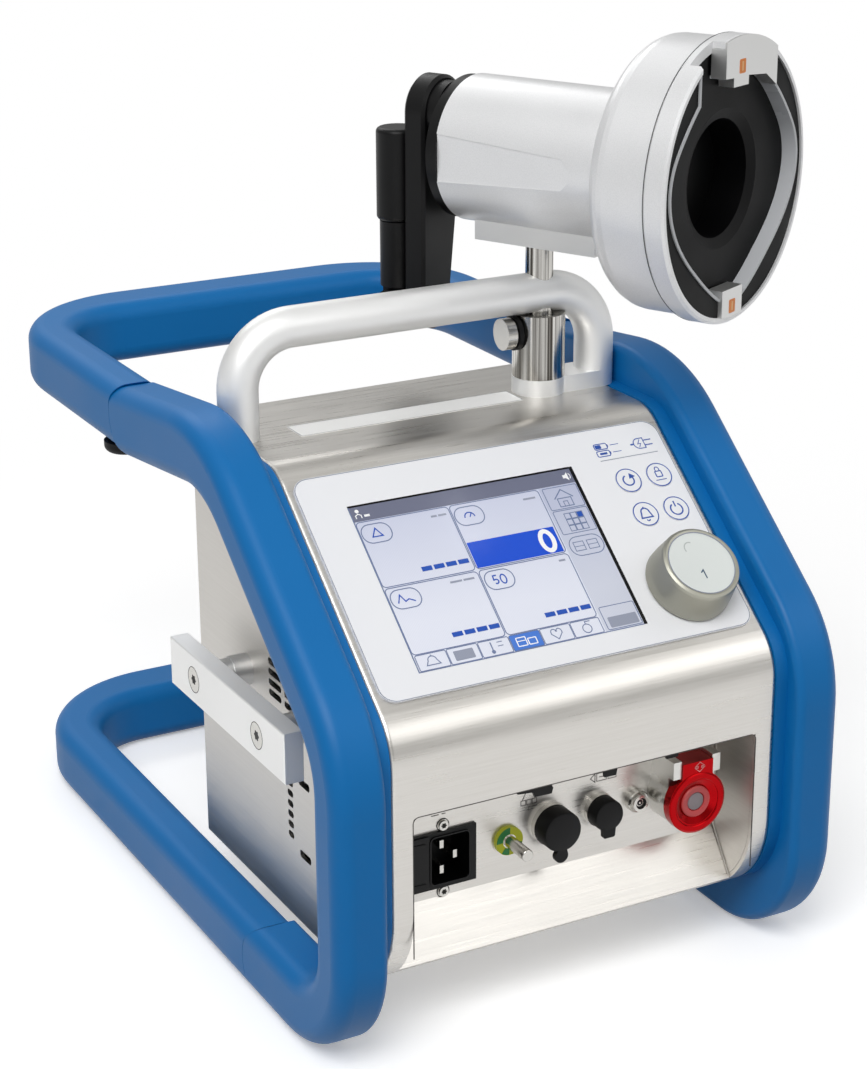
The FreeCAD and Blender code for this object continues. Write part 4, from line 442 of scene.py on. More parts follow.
symbols = [line([(-17.5, 99.5), (-14.0, 106.5), (-10.5, 99.5)], 0.5),
           line(box(-18.2, 97.0, -15.6, 99.4), 0.4, True), line(box(-15.0, 97.0, -12.6, 99.4), 0.4, True),
           line(box(-12.0, 97.0, -9.6, 99.4), 0.4, True), line([(-14, 95.6), (-14, 93.8)], 0.4),
           line([(20, 102.0), (22.6, 104.2), (22.6, 99.8)], 0.45, True),
           line(box(23.6, 100.0, 29, 104), 0.4, True),
           line(box(30, 100.0, 34.5, 104), 0.4, True), line([(25, 102), (27.6, 102)], 0.4),
           line([(-66, 103.2), (-62, 103.2)], 0.5), line([(-60.5, 103.2), (-58.5, 103.2)], 0.5)]
plate("bay_symbols", symbols, on_back, 0.0, 0.06, etched, "console")


# Mains inlet: a snap-in inlet of glass-filled polyamide with its fuse drawer at the left. The
# drawer is glossier than the flange, and a thin gap parts them.
dress(black_nylon, "mains_inlet")
fuse_black = moulded("polyamide_gloss_black", "#08080A", 0.22, 1.6, 0.05)
plate("fuse_drawer", [[box(-81.3, 66.8, -68.3, 94.2, 0.8)]], on_back, 1.4, 2.2, fuse_black, "console")
plate("fuse_drawer_catch", [line([(-79.5, 70.2), (-70.2, 70.2)], 0.7),
                            line([(-79.5, 90.8), (-70.2, 90.8)], 0.7)],
      on_back, 2.2, 2.6, black_nylon, "console")
plate("inlet_collar", [line(box(-67.3, 68.2, -46.7, 92.8, 2.4), 0.7, True)], on_back, 1.4, 2.1, fuse_black,
      "console")


def star(across, up, radius):
    """The six-lobed outline of a screw's drive socket."""
    turns = [radians(10 * i) for i in range(36)]
    return [(across + radius * (1 + 0.16 * math.cos(6 * t)) * math.cos(t),
             up + radius * (1 + 0.16 * math.cos(6 * t)) * math.sin(t)) for t in turns]


# Screw heads: the dark star in each drive socket and the thin dark ring round each head are painted shade in
# the recess and the gap.
screw_recess_shade = moulded("screw_recess_painted_shade", "#191816", 0.5, 0.8)
INLET_SCREW = -60
for label, height in (("low", 63.4), ("high", 97.6)):
    plate("inlet_screw_socket_" + label, [[star(INLET_SCREW, height, 1.25)]], on_back, 1.3, 1.46,
          screw_recess_shade, "console")
    plate("inlet_screw_rim_" + label, [line(circle(INLET_SCREW, height, 3.1), 0.35, True)], on_back,
          0.0, 0.35, screw_recess_shade, "console")


# Earth stud: a stainless pin through a yellow washer with green sectors, the usual marking. The
# sectors are printed on the moulded washer.
yellow = moulded("nylon_moulded_yellow", "#C3C81A", 0.42, 1.0)
dress(yellow, "earth_washer")
green = moulded("print_earth_green", "#0E7A35", 0.42, 1.0)
EARTH_STUD = (-25.5, 81.5)
sectors = []
for start, end in ((88, 182), (232, 268), (318, 346)):
    outer = arc(*EARTH_STUD, 7.0, start, end, 12)
    inner = arc(*EARTH_STUD, 3.7, end, start, 12)
    sectors.append([outer + inner])
plate("earth_sectors", sectors, on_back, 2.3, 2.5, green, "console")


# Dust caps: moulded EPDM rubber pressed over the sockets, each with a finger tab. The rubber is
# matt black with a soft rounded rim.
def lathe(name, profile, place, centre, material, body, steps=48):
    """A solid of revolution: (radius, out) points of a closed profile, turned about a centre."""
    work = bmesh.new()
    rows = []
    for radius, out in profile:
        if radius < 1e-6:
            rows.append([work.verts.new(place(centre[0], centre[1], out))] * steps)
        else:
            rows.append([work.verts.new(place(centre[0] + radius * math.cos(2 * math.pi * i / steps),
                                              centre[1] + radius * math.sin(2 * math.pi * i / steps), out))
                         for i in range(steps)])
    for first, second in zip(rows, rows[1:] + rows[:1]):
        for i in range(steps):
            j = (i + 1) % steps
            corners = list(dict.fromkeys([first[i], first[j], second[j], second[i]]))
            if len(corners) > 2:
                work.faces.new(corners)
    piece = keep(name, work, material, body)
    for face in piece.data.polygons:
        face.use_smooth = True
    piece.data.set_sharp_from_angle(angle=radians(32))
    return piece


black_rubber = moulded("epdm_rubber_moulded", "#070708", 0.52, 0.6)
dress(black_rubber, "loop_pads", "clamp_washer")


CAP_WALL = 1.6


def dust_cap(node, across, up, radius, front, body, tab):
    """A cup with a rounded rim, and the outline of its tab."""
    cup = lathe(node + "_cup", [(0, front), (radius - 1.3, front), (radius - 0.4, front - 0.4),
                                (radius, front - 1.3), (radius, 3.2), (radius - CAP_WALL, 3.2),
                                (radius - CAP_WALL, front - CAP_WALL - 1), (0, front - CAP_WALL - 1)],
                on_back, (across, up), black_rubber, body)
    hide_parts(node)
    plate(node + "_tab", [[tab]], on_back, front - 2.6, front - 0.1, black_rubber, body)


lobe = [(-3.6, 77.2)] + arc(-2.9, 72.6, 3.6, 160, 380, 14) + [(-0.4, 77.2)]
dust_cap("large_cap", -2.0, 84.5, 10.1, 12.5, "large_dust_cap", lobe)
tongue = [(21.2, 79.6), (21.6, 75.0), (22.2, 74.4), (27.4, 74.4), (28.0, 75.0), (28.4, 79.6)]
dust_cap("small_cap", 25.0, 85.5, 7.9, 10.5, "small_dust_cap", tongue)


# Round socket: a nickel-plated shell with a black insulator and one centre contact.
ROUND_SOCKET = (45.5, 85.5)
insulator = moulded("insulator_black", "#0B0B0D", 0.35, 0.8)
lathe("round_socket_insulator", [(0, 3.2), (0.9, 3.2), (0.9, 4.4), (2.85, 4.4), (2.85, 0.5), (0, 0.5)],
      on_back, ROUND_SOCKET, insulator, "console")
lathe("round_socket_contact", [(0, 4.9), (0.55, 4.8), (0.7, 4.4), (0.7, 2.8), (0, 2.8)], on_back,
      ROUND_SOCKET, turned_steel, "console")
lathe("round_socket_ring", [(1.55, 4.4), (1.55, 4.6), (1.9, 4.6), (1.9, 4.4)], on_back, ROUND_SOCKET,
      turned_steel, "console")
lathe("round_socket_bezel", [(4.3, 2.9), (4.3, 3.6), (5.2, 3.9), (5.7, 3.3), (5.7, 2.9)], on_back,
      ROUND_SOCKET, turned_steel, "console")


# Pump connector: a tumbled aluminium body, and its hinged cover of red anodised aluminium with
# a pale insert and a grey lens. The dyed oxide keeps the metal's sparkle under a deep red.
PUMP_SOCKET = (68, 87)
ears = blasted_metal("aluminium_tumbled", "#CFCECA", 0.30, 0.7, 0.10)
dress(ears, "pump_connector")
red = blasted_metal("aluminium_anodised_red", "#A60D13", 0.22, 0.9, 0.08)
dress(red, "red_cover")
pale_red = moulded("insert_pale_red", "#C8494A", 0.34, 0.8)
lens_grey = moulded("lens_polycarbonate_grey", "#8E8488", 0.18, 1.2, 0.05)
lathe("red_cover_bead", [(12.1, 20.0), (12.1, 20.25), (12.6, 20.6), (14.9, 20.6), (15.5, 20.2), (15.5, 20.0)],
      on_back, PUMP_SOCKET, red, "hinged_cover")
lathe("red_cover_insert", [(4.9, 18.3), (4.9, 19.2), (5.4, 19.5), (7.6, 19.5), (8.0, 19.1), (8.0, 18.3)],
      on_back, PUMP_SOCKET, pale_red, "hinged_cover")
lathe("red_cover_lens", [(0, 19.5), (3.2, 19.3), (4.4, 18.9), (4.7, 18.3), (0, 18.3)], on_back, PUMP_SOCKET,
      lens_grey, "hinged_cover")
pale_mark = moulded("mark_pale_red", "#E9A7A5", 0.4, 0.8)
arrows = line([(69.0, 108.0), (66.4, 105.9), (68.0, 105.9), (68.0, 105.1), (66.4, 105.1), (69.0, 103.0),
               (71.6, 105.1), (70.0, 105.1), (70.0, 105.9), (71.6, 105.9)], 0.4, True)
plate("red_cover_arrows", [arrows], on_back, 20.0, 20.06, pale_mark, "hinged_cover")


# Control panel: a white polyester membrane on an aluminium plate, bonded to the slope. The film
# is textured matt, printed in blue from behind, with a clear window over the display.
white_panel = moulded("polyester_membrane_white", "#F4F5F8", 0.42, 0.5, 0.08)
dress(white_panel, "control_panel", "key_start", "key_lock", "key_mute", "key_power")
PANEL_SLOPE = 39
PANEL_TOP = (0, 107.3, 248.09)
slope = radians(PANEL_SLOPE)
on_slope = on_face(PANEL_TOP, (0, -math.sin(slope), math.cos(slope)),
                   (0, math.cos(slope), math.sin(slope)))


def on_panel(across, down, out):
    """A point of the panel: across, down the slope from its top edge, and out."""
    return on_slope(across, -down, out)


PANEL_FACE = 1.2
KEY_FACE = 1.7
FILM = 0.06
# Grey print for lines, also used for the painted shade of the knob inlay's groove.
print_grey_and_groove_shade = moulded("print_line_and_groove_shade_grey", "#8B91A0", 0.4, 0.8)
plate("panel_edge_line", [line(box(-98.6, 0.4, 98.6, 119.6, 7.6), 0.4, True)], on_panel, PANEL_FACE,
      PANEL_FACE + FILM, print_grey_and_groove_shade, "console")
panel_blue = moulded("print_ink_blue", "#2450A8", 0.4, 0.8)
supply = [line(box(60.4, 9.1, 67.6, 12.3, 0.9), 0.5, True), [box(60.9, 9.6, 64.2, 11.8, 0.4)],
          line(box(60.4, 13.2, 67.6, 16.4, 0.9), 0.5, True), [box(62.0, 14.2, 66.0, 15.4, 0.2)],
          [box(67.6, 10.0, 68.2, 11.4)], [box(67.6, 14.1, 68.2, 15.5)],
          line([(69.4, 10.6), (74.2, 10.6)], 0.35), line([(69.4, 14.8), (74.2, 14.8)], 0.35),
          line(arc(85.2, 12.6, 2.9, 90, 270, 10) + [(88.2, 9.7), (88.2, 15.5)], 0.5, True),
          line([(80.4, 12.6), (82.3, 12.6)], 0.9), line([(88.2, 11.2), (92.6, 11.2)], 0.6),
          line([(88.2, 14.0), (92.6, 14.0)], 0.6),
          line([(86.4, 10.4), (84.6, 12.8), (86.2, 12.8), (84.8, 14.8)], 0.4)]
plate("panel_supply_symbols", supply, on_panel, PANEL_FACE, PANEL_FACE + FILM, panel_blue, "console")
plate("panel_supply_rule", [line([(60.4, 18.75), (93.3, 18.75)], 0.4)], on_panel, PANEL_FACE,
      PANEL_FACE + FILM, print_grey_and_groove_shade, "console")


# Membrane keys: four domes of the same film, each with a printed ring and a plain symbol.
KEY_RING = 6.5
plate("start_symbol", [line(circle(69.8, 32.1, KEY_RING), 0.55, True),
                       line(arc(69.8, 32.1, 2.9, -40, 250, 18), 0.75),
                       [[(71.4, 28.2), (74.2, 30.4), (70.6, 31.4)]]],
      on_panel, KEY_FACE, KEY_FACE + FILM, panel_blue, "start_key")
plate("lock_symbol", [line(circle(87.4, 32.0, KEY_RING), 0.55, True),
                      line(box(85.7, 30.0, 89.1, 33.2, 0.4), 0.6, True),
                      line([(86.3, 30.0)] + arc(87.4, 28.7, 1.1, 180, 360, 8) + [(88.5, 30.0)], 0.5),
                      line([(84.4, 35.0), (90.4, 35.0)], 0.45)],
      on_panel, KEY_FACE, KEY_FACE + FILM, panel_blue, "lock_key")
plate("mute_symbol", [line(circle(70.1, 51.9, KEY_RING), 0.55, True),
                      line([(67.0, 54.0)] + arc(70.1, 50.9, 2.2, 180, 360, 12) + [(73.2, 54.0)], 0.75, True),
                      line(arc(70.1, 55.1, 0.8, 0, 180, 6), 0.6), line([(70.1, 48.6), (70.1, 47.9)], 0.7)],
      on_panel, KEY_FACE, KEY_FACE + FILM, panel_blue, "mute_key")
plate("power_symbol", [line(circle(87.5, 52.0, KEY_RING), 0.55, True),
                       line(arc(87.5, 52.4, 3.2, -60, 240, 20), 0.75),
                       line([(87.5, 47.8), (87.5, 51.0)], 0.75)],
      on_panel, KEY_FACE, KEY_FACE + FILM, panel_blue, "power_key")


# Display: a backlit colour panel behind a bonded glass window. The lit areas are faintly ruled
# by the pixel rows, 0.26 mm apart in truth and drawn at 0.8 mm so that they show close up.
PIXEL_ROWS = 392.0
SHADE_LOW = 0.196
SHADE_HIGH = 0.236


def lit(name, colour, upper=None, glow=0.06):
    """A lit area of the display, where asked shading to another tone at the screen's top."""
    made, tree, shader = finish_of(name, colour, Roughness=0.16)
    shader.inputs["Emission Color"].default_value = linear(colour)
    shader.inputs["Emission Strength"].default_value = glow
    place = add(tree, "TexCoord").outputs["Object"]
    rows = add(tree, "TexWave", {"bands_direction": "X"}, {"Vector": place, "Scale": PIXEL_ROWS})
    level = add(tree, "MapRange", None, {"Value": rows.outputs["Fac"], "To Min": 0.94, "To Max": 1.0})
    height = add(tree, "SeparateXYZ", None, {"Vector": place}).outputs["Z"]
    rising = add(tree, "MapRange", None, {"Value": height, "From Min": SHADE_LOW,
                                          "From Max": SHADE_HIGH}).outputs["Result"]
    tone = add(tree, "MixRGB", None, {"Fac": rising, "Color1": linear(colour),
                                      "Color2": linear(upper or colour)})
    tint = add(tree, "VectorMath", {"operation": "SCALE"},
               {0: tone.outputs[0], "Scale": level.outputs["Result"]})
    tree.links.new(tint.outputs[0], shader.inputs["Base Color"])
    relief = add(tree, "Bump", None, {"Height": rows.outputs["Fac"], "Strength": 0.02, "Distance": 0.0001})
    tree.links.new(relief.outputs[0], shader.inputs["Normal"])
    return made


lit_ground = lit("display_ground", "#EAEDF9", "#CDD2E7")
lit_side = lit("display_side_column", "#D6DAE8", "#B9BFD8")
lit_slate = lit("display_status_bar", "#70748A")
lit_line = lit("display_outline", "#7482A6")
lit_deep = lit("display_deep_blue", "#2254B8")
lit_blue = lit("display_bar_blue", "#0A4FD6")
lit_tab = lit("display_tab_blue", "#4A7FDB")
lit_grey = lit("display_grey_field", "#9AA0B2")
lit_white = lit("display_white", "#FFFFFF")
# The black of the display's edge strips is painted shade in the gap round the flush glass, not ink.
display_gap_shade = moulded("display_gap_painted_shade", "#0B0B0E", 0.2, 1.0, 0.04)
dress(lit_ground, "display_glass")


def show(name, shapes, material, level=1):
    """One layer of the picture on the display."""
    plate(name, shapes, on_panel, PANEL_FACE + (level - 1) * FILM, PANEL_FACE + level * FILM, material,
          "console")


show("display_side", [[box(21.2, 27.4, 42.0, 108.2)]], lit_side)
show("display_status", [[box(-76.5, 19.4, 42.0, 27.4)]], lit_slate)
# Black strips along the display's right and top edges: painted shade in the gap round the glass.
show("display_edge_gap_shade", [[box(41.9, 18.6, 43.7, 108.5)], [box(-76.9, 18.5, 41.9, 19.5)]], display_gap_shade, 2)
show("display_frame", [[box(-77.0, 19.5, -76.5, 108.6)], [box(-76.5, 108.1, 41.9, 108.6)]], lit_line, 2)
show("display_status_symbols", [
    line([(-74.6, 25.8), (-74.6, 24.2), (-73.2, 23.4), (-71.8, 24.2), (-71.8, 25.8)], 0.5),
    [circle(-73.2, 21.9, 1.0, 12)], [box(-70.4, 24.2, -67.6, 25.4)],
    [[(36.6, 22.6), (38.0, 22.6), (39.4, 21.2), (39.4, 25.8), (38.0, 24.4), (36.6, 24.4)]],
    line(arc(38.8, 23.5, 1.9, -50, 50, 6), 0.4)], lit_white, 2)

tile_rows = ((27.9, 63.4), (64.2, 99.4))
tile_columns = ((-76.3, -28.4), (-27.7, 20.4))
show("display_tiles", [line(box(left, low, right, high, 2.0), 0.45, True)
                       for low, high in tile_rows for left, right in tile_columns], lit_line, 2)
pills = ((-68.0, 34.8), (-19.4, 34.8), (-67.8, 70.7), (-19.0, 70.6))
show("display_pills", [line(box(x - 7.5, y - 5.0, x + 7.5, y + 5.0, 4.6), 0.5, True) for x, y in pills],
     lit_line, 2)
show("display_unit_marks", [[box(-38.5, 31.2, -35.5, 32.2)], [box(-34.7, 31.2, -30.5, 32.2)],
                            [box(11.0, 31.2, 17.6, 32.2)], [box(-43.5, 66.8, -37.4, 67.8)],
                            [box(-36.6, 66.8, -31.0, 67.8)], [box(14.4, 66.8, 17.8, 67.8)]], lit_grey, 2)
show("display_dashes", [[box(start + 6.35 * i, down, start + 6.35 * i + 5.3, down + 2.4)]
                        for start, down in ((-54.2, 56.6), (-53.6, 92.3), (-5.0, 92.3)) for i in range(4)],
     lit_deep, 2)
show("display_value_bar", [[box(-27.1, 48.8, 19.4, 62.8, 0.4)]], lit_blue, 2)


def zero(across, down, half_wide, half_tall, width):
    return line(arc(across, down, half_wide, 0, 345, 23, half_tall / half_wide), width, True)


def five(across, down, size, width):
    """The numeral 5, drawn as a flag, a stem and a bowl."""
    bowl = arc(across, down + size * 0.28, size * 0.46, -125, 130, 14)
    return line([(across + size * 0.42, down - size), (across - size * 0.32, down - size),
                 (across - size * 0.40, down - size * 0.10)] + bowl, width)


show("display_value_zero", [zero(13.4, 55.8, 3.2, 5.4, 2.3)], lit_white, 3)
show("display_pill_symbols", [
    line([(-70.6, 36.6), (-68.0, 32.2), (-65.4, 36.6)], 0.6, True),
    line(arc(-19.4, 35.6, 2.6, 180, 360, 12), 0.6), line([(-19.4, 35.6), (-17.9, 33.4)], 0.5),
    line([(-72.2, 72.6), (-70.2, 68.4), (-68.4, 72.2), (-66.4, 71.2), (-63.6, 72.8)], 0.55),
    five(-21.0, 70.7, 2.5, 0.65), zero(-17.0, 70.7, 1.45, 2.4, 0.65)], lit_deep, 2)

show("display_side_boxes", [line(box(22.8, 28.3, 41.4, 40.6, 0.8), 0.4, True),
                            line(box(22.8, 41.4, 41.4, 54.4, 0.8), 0.4, True),
                            line(box(23.2, 56.6, 41.2, 67.0, 4.8), 0.45, True),
                            line(box(22.8, 95.4, 41.4, 107.6, 0.8), 0.4, True)], lit_line, 2)
show("display_side_field", [[box(24.7, 101.2, 40.2, 106.8, 0.6)]], lit_grey, 2)
cells = [line(box(28.0 + 3.4 * i, 43.4 + 3.4 * j, 31.0 + 3.4 * i, 46.4 + 3.4 * j), 0.4, True)
         for i in range(3) for j in range(3)]
show("display_side_symbols", cells + [
    line([(27.0, 34.8), (32.1, 30.0), (37.2, 34.8)], 0.6), line(box(28.4, 34.8, 35.8, 39.4), 0.5, True),
    line(box(31.0, 36.6, 33.2, 39.4), 0.4, True), line(box(25.6, 59.4, 31.0, 64.2), 0.4, True),
    line(box(33.0, 59.4, 38.4, 64.2), 0.4, True), line([(25.6, 61.8), (31.0, 61.8)], 0.35),
    line([(33.0, 61.8), (38.4, 61.8)], 0.35)], lit_line, 2)
show("display_side_cell", [[box(34.9, 43.5, 37.7, 46.3)]], lit_deep, 2)

tab_edges = (-76.1, -60.1, -44.0, -27.8, -11.5, 4.7, 20.5)
show("display_tabs", [line(box(left + 0.3, 99.9, right - 0.2, 108.0, 0.8), 0.4, True)
                      for left, right in zip(tab_edges, tab_edges[1:])], lit_line, 2)
show("display_active_tab", [[box(-27.4, 100.0, -11.8, 108.0, 0.6)]], lit_tab, 2)
show("display_tab_field", [[box(-57.0, 101.6, -47.0, 106.6, 0.5)]], lit_grey, 2)
show("display_tab_symbols", [
    line([(-71.6, 105.8)] + arc(-68.1, 103.6, 2.2, 180, 360, 10) + [(-64.6, 105.8)], 0.45, True),
    line([(-68.1, 101.4), (-68.1, 100.7)], 0.45), line([(-37.6, 101.0), (-37.6, 105.0)], 0.6),
    [circle(-37.6, 106.0, 1.0, 12)], line([(-34.4, 101.6), (-31.6, 101.6)], 0.4),
    line([(-34.4, 103.6), (-31.6, 103.6)], 0.4),
    line([(-3.4, 106.6), (-6.2, 103.6)] + arc(-4.8, 102.6, 1.4, 180, 360, 6)
         + arc(-2.0, 102.6, 1.4, 180, 360, 6) + [(-0.6, 103.6)], 0.45, True),
    line(circle(12.6, 104.4, 2.3, 20), 0.45, True),
    line([(12.6, 102.1), (12.6, 100.8), (15.4, 100.8)], 0.45)],
     lit_line, 2)
show("display_active_symbols", [line(box(-24.6, 101.8, -19.8, 106.2, 0.3), 0.5, True),
                                line(box(-18.8, 103.0, -14.6, 106.2, 0.3), 0.5, True),
                                line([(-24.6, 103.6), (-19.8, 103.6)], 0.4)], lit_white, 3)


# Speed knob: turned aluminium with a bead-blasted, grey anodised skirt. Its dished top is a
# paler inlay with a finger dimple and the numeral 1.
KNOB = (73.5, 92.5)
DISH_LOW = 18.32
DISH_RISE = 0.2
DISH_FLAT = 8
DISH_SLOPE = 0.138
knob_metal = blasted_metal("aluminium_anodised_knob_grey", "#A3A297", 0.42, 0.5, 0.12)
dress(knob_metal, "speed_knob")
inlay = moulded("inlay_pale_grey", "#E3E8E5", 0.34, 0.6, 0.06)
lathe("knob_inlay", [(0, DISH_LOW), (8.0, 18.52), (14.5, 19.42), (16.3, 19.78), (16.5, 19.74),
                     (16.5, 19.3), (8, 18.1), (0, 18.0)],
      on_slope, (KNOB[0], -KNOB[1]), inlay, "knob", 64)
# The grey ring round the inlay is painted shade in the groove between inlay and knob.
lathe("knob_inlay_groove", [(16.5, 19.5), (16.5, 19.86), (17.0, 19.92), (17.0, 19.5)], on_slope,
      (KNOB[0], -KNOB[1]), print_grey_and_groove_shade, "knob", 64)


def on_dish(across, down, out):
    """A point above the inlay's dished face, which is lowest in the middle."""
    reach = math.hypot(across - KNOB[0], down - KNOB[1])
    rise = DISH_RISE * min(reach, DISH_FLAT) / DISH_FLAT + max(0, reach - DISH_FLAT) * DISH_SLOPE
    return on_panel(across, down, DISH_LOW + rise + out)


numeral_ink = moulded("print_ink_slate", "#33506A", 0.45, 0.8)
plate("knob_numeral", [line([(71.7, 96.9), (73.3, 95.6), (73.3, 100.4)], 0.62)], on_dish, -0.1, 0.06,
      numeral_ink, "knob")
# The finger dimple is drawn as a grey arc: painted shade at its edge.
dimple_painted_shade = moulded("dimple_shade_grey", "#BCC2BF", 0.45, 0.8)
plate("knob_dimple", [line(arc(71.9, 83.2, 2.9, 150, 300, 14), 0.6)], on_dish, -0.1, 0.05, dimple_painted_shade,
      "knob")


# Bumpers and loops: integral-skin polyurethane foam, moulded in halves and lacquered blue. The
# skin is satin with a faint leather-like pebble that only breaks up the highlights.
def foam_skin(name, colour, worn):
    made, tree, shader = finish_of(name, colour)
    shader.inputs["Specular IOR Level"].default_value = 0.28
    place = add(tree, "TexCoord").outputs["Object"]
    pebble = add(tree, "TexNoise", None, {"Vector": place, "Scale": 1400.0, "Detail": 2.0})
    clouds = add(tree, "TexNoise", None, {"Vector": place, "Scale": 9.0, "Detail": 3.0})
    tint = add(tree, "MixRGB", None, {"Fac": clouds.outputs["Fac"], "Color1": linear(colour),
                                      "Color2": linear(worn)})
    tree.links.new(tint.outputs[0], shader.inputs["Base Color"])
    gloss = add(tree, "MapRange", None, {"Value": clouds.outputs["Fac"], "From Min": 0.3, "From Max": 0.7,
                                         "To Min": 0.40, "To Max": 0.50})
    tree.links.new(gloss.outputs["Result"], shader.inputs["Roughness"])
    relief = add(tree, "Bump", None, {"Height": pebble.outputs["Fac"], "Strength": 0.08,
                                      "Distance": 0.0002})
    tree.links.new(relief.outputs[0], shader.inputs["Normal"])
    return made


blue_skin = foam_skin("polyurethane_skin_blue", "#0069AE", "#0673B8")
dress(blue_skin, "side_lips", "right_bumper", "left_bumper", "upper_loop", "lower_loop")


# Equipment rail: a flat aluminium bar, sawn, chamfered and clear anodised, on two spacers. Handle
# and feet have the same pale satin oxide. The rail's countersunk screws show a fine dark ring and a
# dark socket, both painted shade in the gap and the recess.
anodised = blasted_metal("aluminium_blasted_anodised", "#D2D2D1", 0.40, 0.6, 0.10)
dress(anodised, "rail_spacers")
tube_satin = blasted_metal("aluminium_tube_satin_anodised", "#F1F1F0", 0.48, 0.5, 0.10)
TUBE_METALLIC = 0.7
tube_satin.node_tree.nodes["Principled BSDF"].inputs["Metallic"].default_value = TUBE_METALLIC
dress(tube_satin, "handle_tube", "handle_feet", "equipment_rail")
RAIL_FACE = (-131.3, 0, 139.5)
SCREW_HEAD = 6.5
on_rail = on_face(RAIL_FACE, (-1, 0, 0), (0, 0, 1))
# The dark ring and socket on each rail screw are painted shade.
for label, y in (("front", 79.3), ("rear", 152.5)):
    plate("rail_screw_ring_" + label, [line(circle(-y, 0, SCREW_HEAD), 0.35, True)], on_rail, 0.0, 0.05,
          screw_recess_shade, "console")
    plate("rail_screw_socket_" + label, [[star(-y, 0, 2.3)]], on_rail, -0.2, 0.04, screw_recess_shade,
          "console")


# Drive holder and post: ground stainless bar, polished lengthwise. The polish leaves upright
# streaks in the gloss and the relief. The narrow bright and dark bands round the bar are painted
# reflection in the colour.
def polished_bar(name, colour, dark):
    """Bar polished along its length: streaks about 2.4 mm wide round the bar, drawn coarse to show.
    Their colour runs from pale to near black, a painted reflection of the room.
    """
    made, tree, shader = finish_of(name, colour, Metallic=1.0)
    place = add(tree, "TexCoord").outputs["Object"]
    stretched = add(tree, "VectorMath", {"operation": "MULTIPLY"}, {0: place, 1: (420, 420, 3)}).outputs[0]
    streaks = add(tree, "TexNoise", None, {"Vector": stretched, "Scale": 1.0, "Detail": 3.0,
                                           "Roughness": 0.55})
    painted_reflection_bands = add(tree, "MapRange", None, {"Value": streaks.outputs["Fac"], "From Min": 0.36,
                                            "From Max": 0.60}).outputs["Result"]
    # The colour bands, from near black to pale, are painted reflection; the gloss and relief are the polish.
    tint = add(tree, "MixRGB", None, {"Fac": painted_reflection_bands, "Color1": linear(dark), "Color2": linear(colour)})
    tree.links.new(tint.outputs[0], shader.inputs["Base Color"])
    gloss = add(tree, "MapRange", None, {"Value": streaks.outputs["Fac"], "From Min": 0.3, "From Max": 0.7,
                                         "To Min": 0.12, "To Max": 0.24})
    tree.links.new(gloss.outputs["Result"], shader.inputs["Roughness"])
    relief = add(tree, "Bump", None, {"Height": streaks.outputs["Fac"], "Strength": 0.35, "Distance": 0.0006})
    tree.links.new(relief.outputs[0], shader.inputs["Normal"])
    return made


polished = polished_bar("stainless_bar_polished_painted_reflection", "#D9D7D2", "#45413C")
dress(polished, "drive_holder", "drive_post")


# Hand drive body: cast aluminium barrel and drum, machined, primed and painted silver. The
# metallic paint is finely speckled and flatter in shine than bare metal, as is the cavity's liner.
def silver_paint(name, colour):
    made, tree, shader = finish_of(name, colour, Metallic=0.4)
    shader.inputs["Coat Weight"].default_value = 0.25
    shader.inputs["Coat Roughness"].default_value = 0.35
    place = add(tree, "TexCoord").outputs["Object"]
    flakes = add(tree, "TexNoise", None, {"Vector": place, "Scale": 2200.0, "Detail": 1.0})
    clouds = add(tree, "TexNoise", None, {"Vector": place, "Scale": 20.0, "Detail": 3.0})
    tint = add(tree, "MixRGB", None, {"Fac": flakes.outputs["Fac"], "Color1": linear("#DCDDDE"),
                                      "Color2": linear(colour)})
    tree.links.new(tint.outputs[0], shader.inputs["Base Color"])
    gloss = add(tree, "MapRange", None, {"Value": clouds.outputs["Fac"], "From Min": 0.3, "From Max": 0.7,
                                         "To Min": 0.34, "To Max": 0.44})
    tree.links.new(gloss.outputs["Result"], shader.inputs["Roughness"])
    relief = add(tree, "Bump", None, {"Height": flakes.outputs["Fac"], "Strength": 0.05, "Distance": 0.0001})
    tree.links.new(relief.outputs[0], shader.inputs["Normal"])
    return made


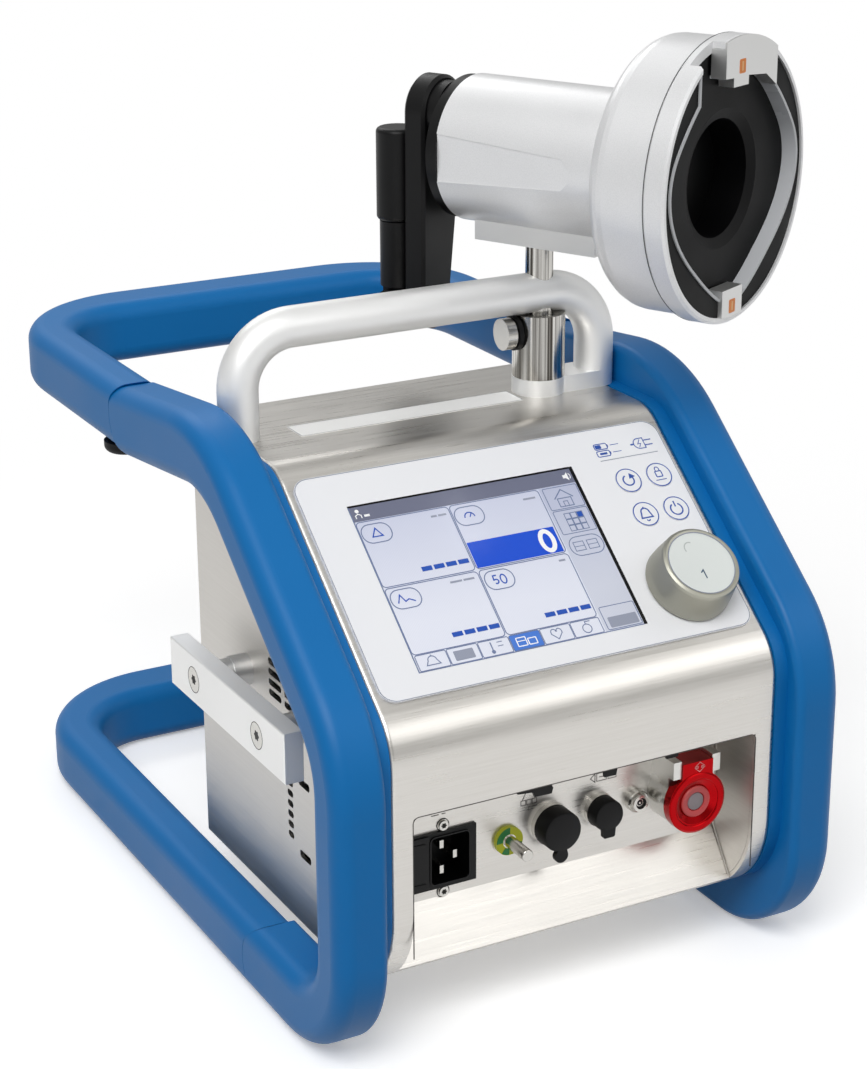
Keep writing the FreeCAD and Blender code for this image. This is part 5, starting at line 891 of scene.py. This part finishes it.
silver = silver_paint("paint_silver_metallic", "#F2F2F3")
dress(silver, "drive_barrel", "drive_drum")
dress(anodised, "saddle_plate", "bayonet_blocks")
liner_metal = moulded("liner_painted_silver", "#C6C8CB", 0.30, 0.8, 0.06)
dress(liner_metal, "cavity_liner")
DRIVE_AXIS = (66.5, 162, 374)
DRIVE_TURN = 64
SEAM_RADIUS = 67.3
drive_turn = radians(DRIVE_TURN)
on_drive = on_face(DRIVE_AXIS, (math.cos(drive_turn), -math.sin(drive_turn), 0), (0, 0, 1))
seam_dark = moulded("seam_shadow_grey", "#4C4D50", 0.5, 0.8)
lathe("drum_seam", [(SEAM_RADIUS, 98.2), (67.46, 98.2), (67.46, 98.65), (SEAM_RADIUS, 98.65)],
      on_drive, (0, 0), seam_dark, "hand_drive", 128)


# Drum face: matt black moulded face plate with the pump's cavity behind it. Small orange marks
# on the two blocks show where the pump head locks in.
black_face = moulded("polyamide_face_matt_black", "#040405", 0.48, 0.7)
FACE_SHINE = 0.12
black_face.node_tree.nodes["Principled BSDF"].inputs["Specular IOR Level"].default_value = FACE_SHINE
dress(black_face, "drum_face", "rear_drive_face")
orange = moulded("print_ink_orange", "#E8842A", 0.4, 0.8)
orange_pale = moulded("print_ink_orange_pale", "#F3BC7E", 0.4, 0.8)
BLOCK_FRONT = 110.0
MARK_FACE = 110.08
MARK_TOP = 110.14
marks = ((-0.25, 53.4), (-1.8, -59.1))
plate("lock_marks", [[box(a - 2.9, b - 3.3, a + 2.9, b + 3.3, 0.8)] for a, b in marks], on_drive,
      BLOCK_FRONT, MARK_FACE, orange, "hand_drive")
plate("lock_mark_slots", [[box(a - 0.7, b - 2.2, a + 0.7, b + 2.2, 0.4)] for a, b in marks], on_drive,
      MARK_FACE, MARK_TOP, orange_pale, "hand_drive")


# Crank: glass-filled polyamide arm, fork and grip, moulded in black with a fine grain. The
# grip turns on the fork, which folds out on its pin.
crank_black = moulded("polyamide_moulded_black", "#070708", 0.40, 0.7)
dress(crank_black, "crank_arm", "grip_fork", "crank_grip", "barrel_end_cap")
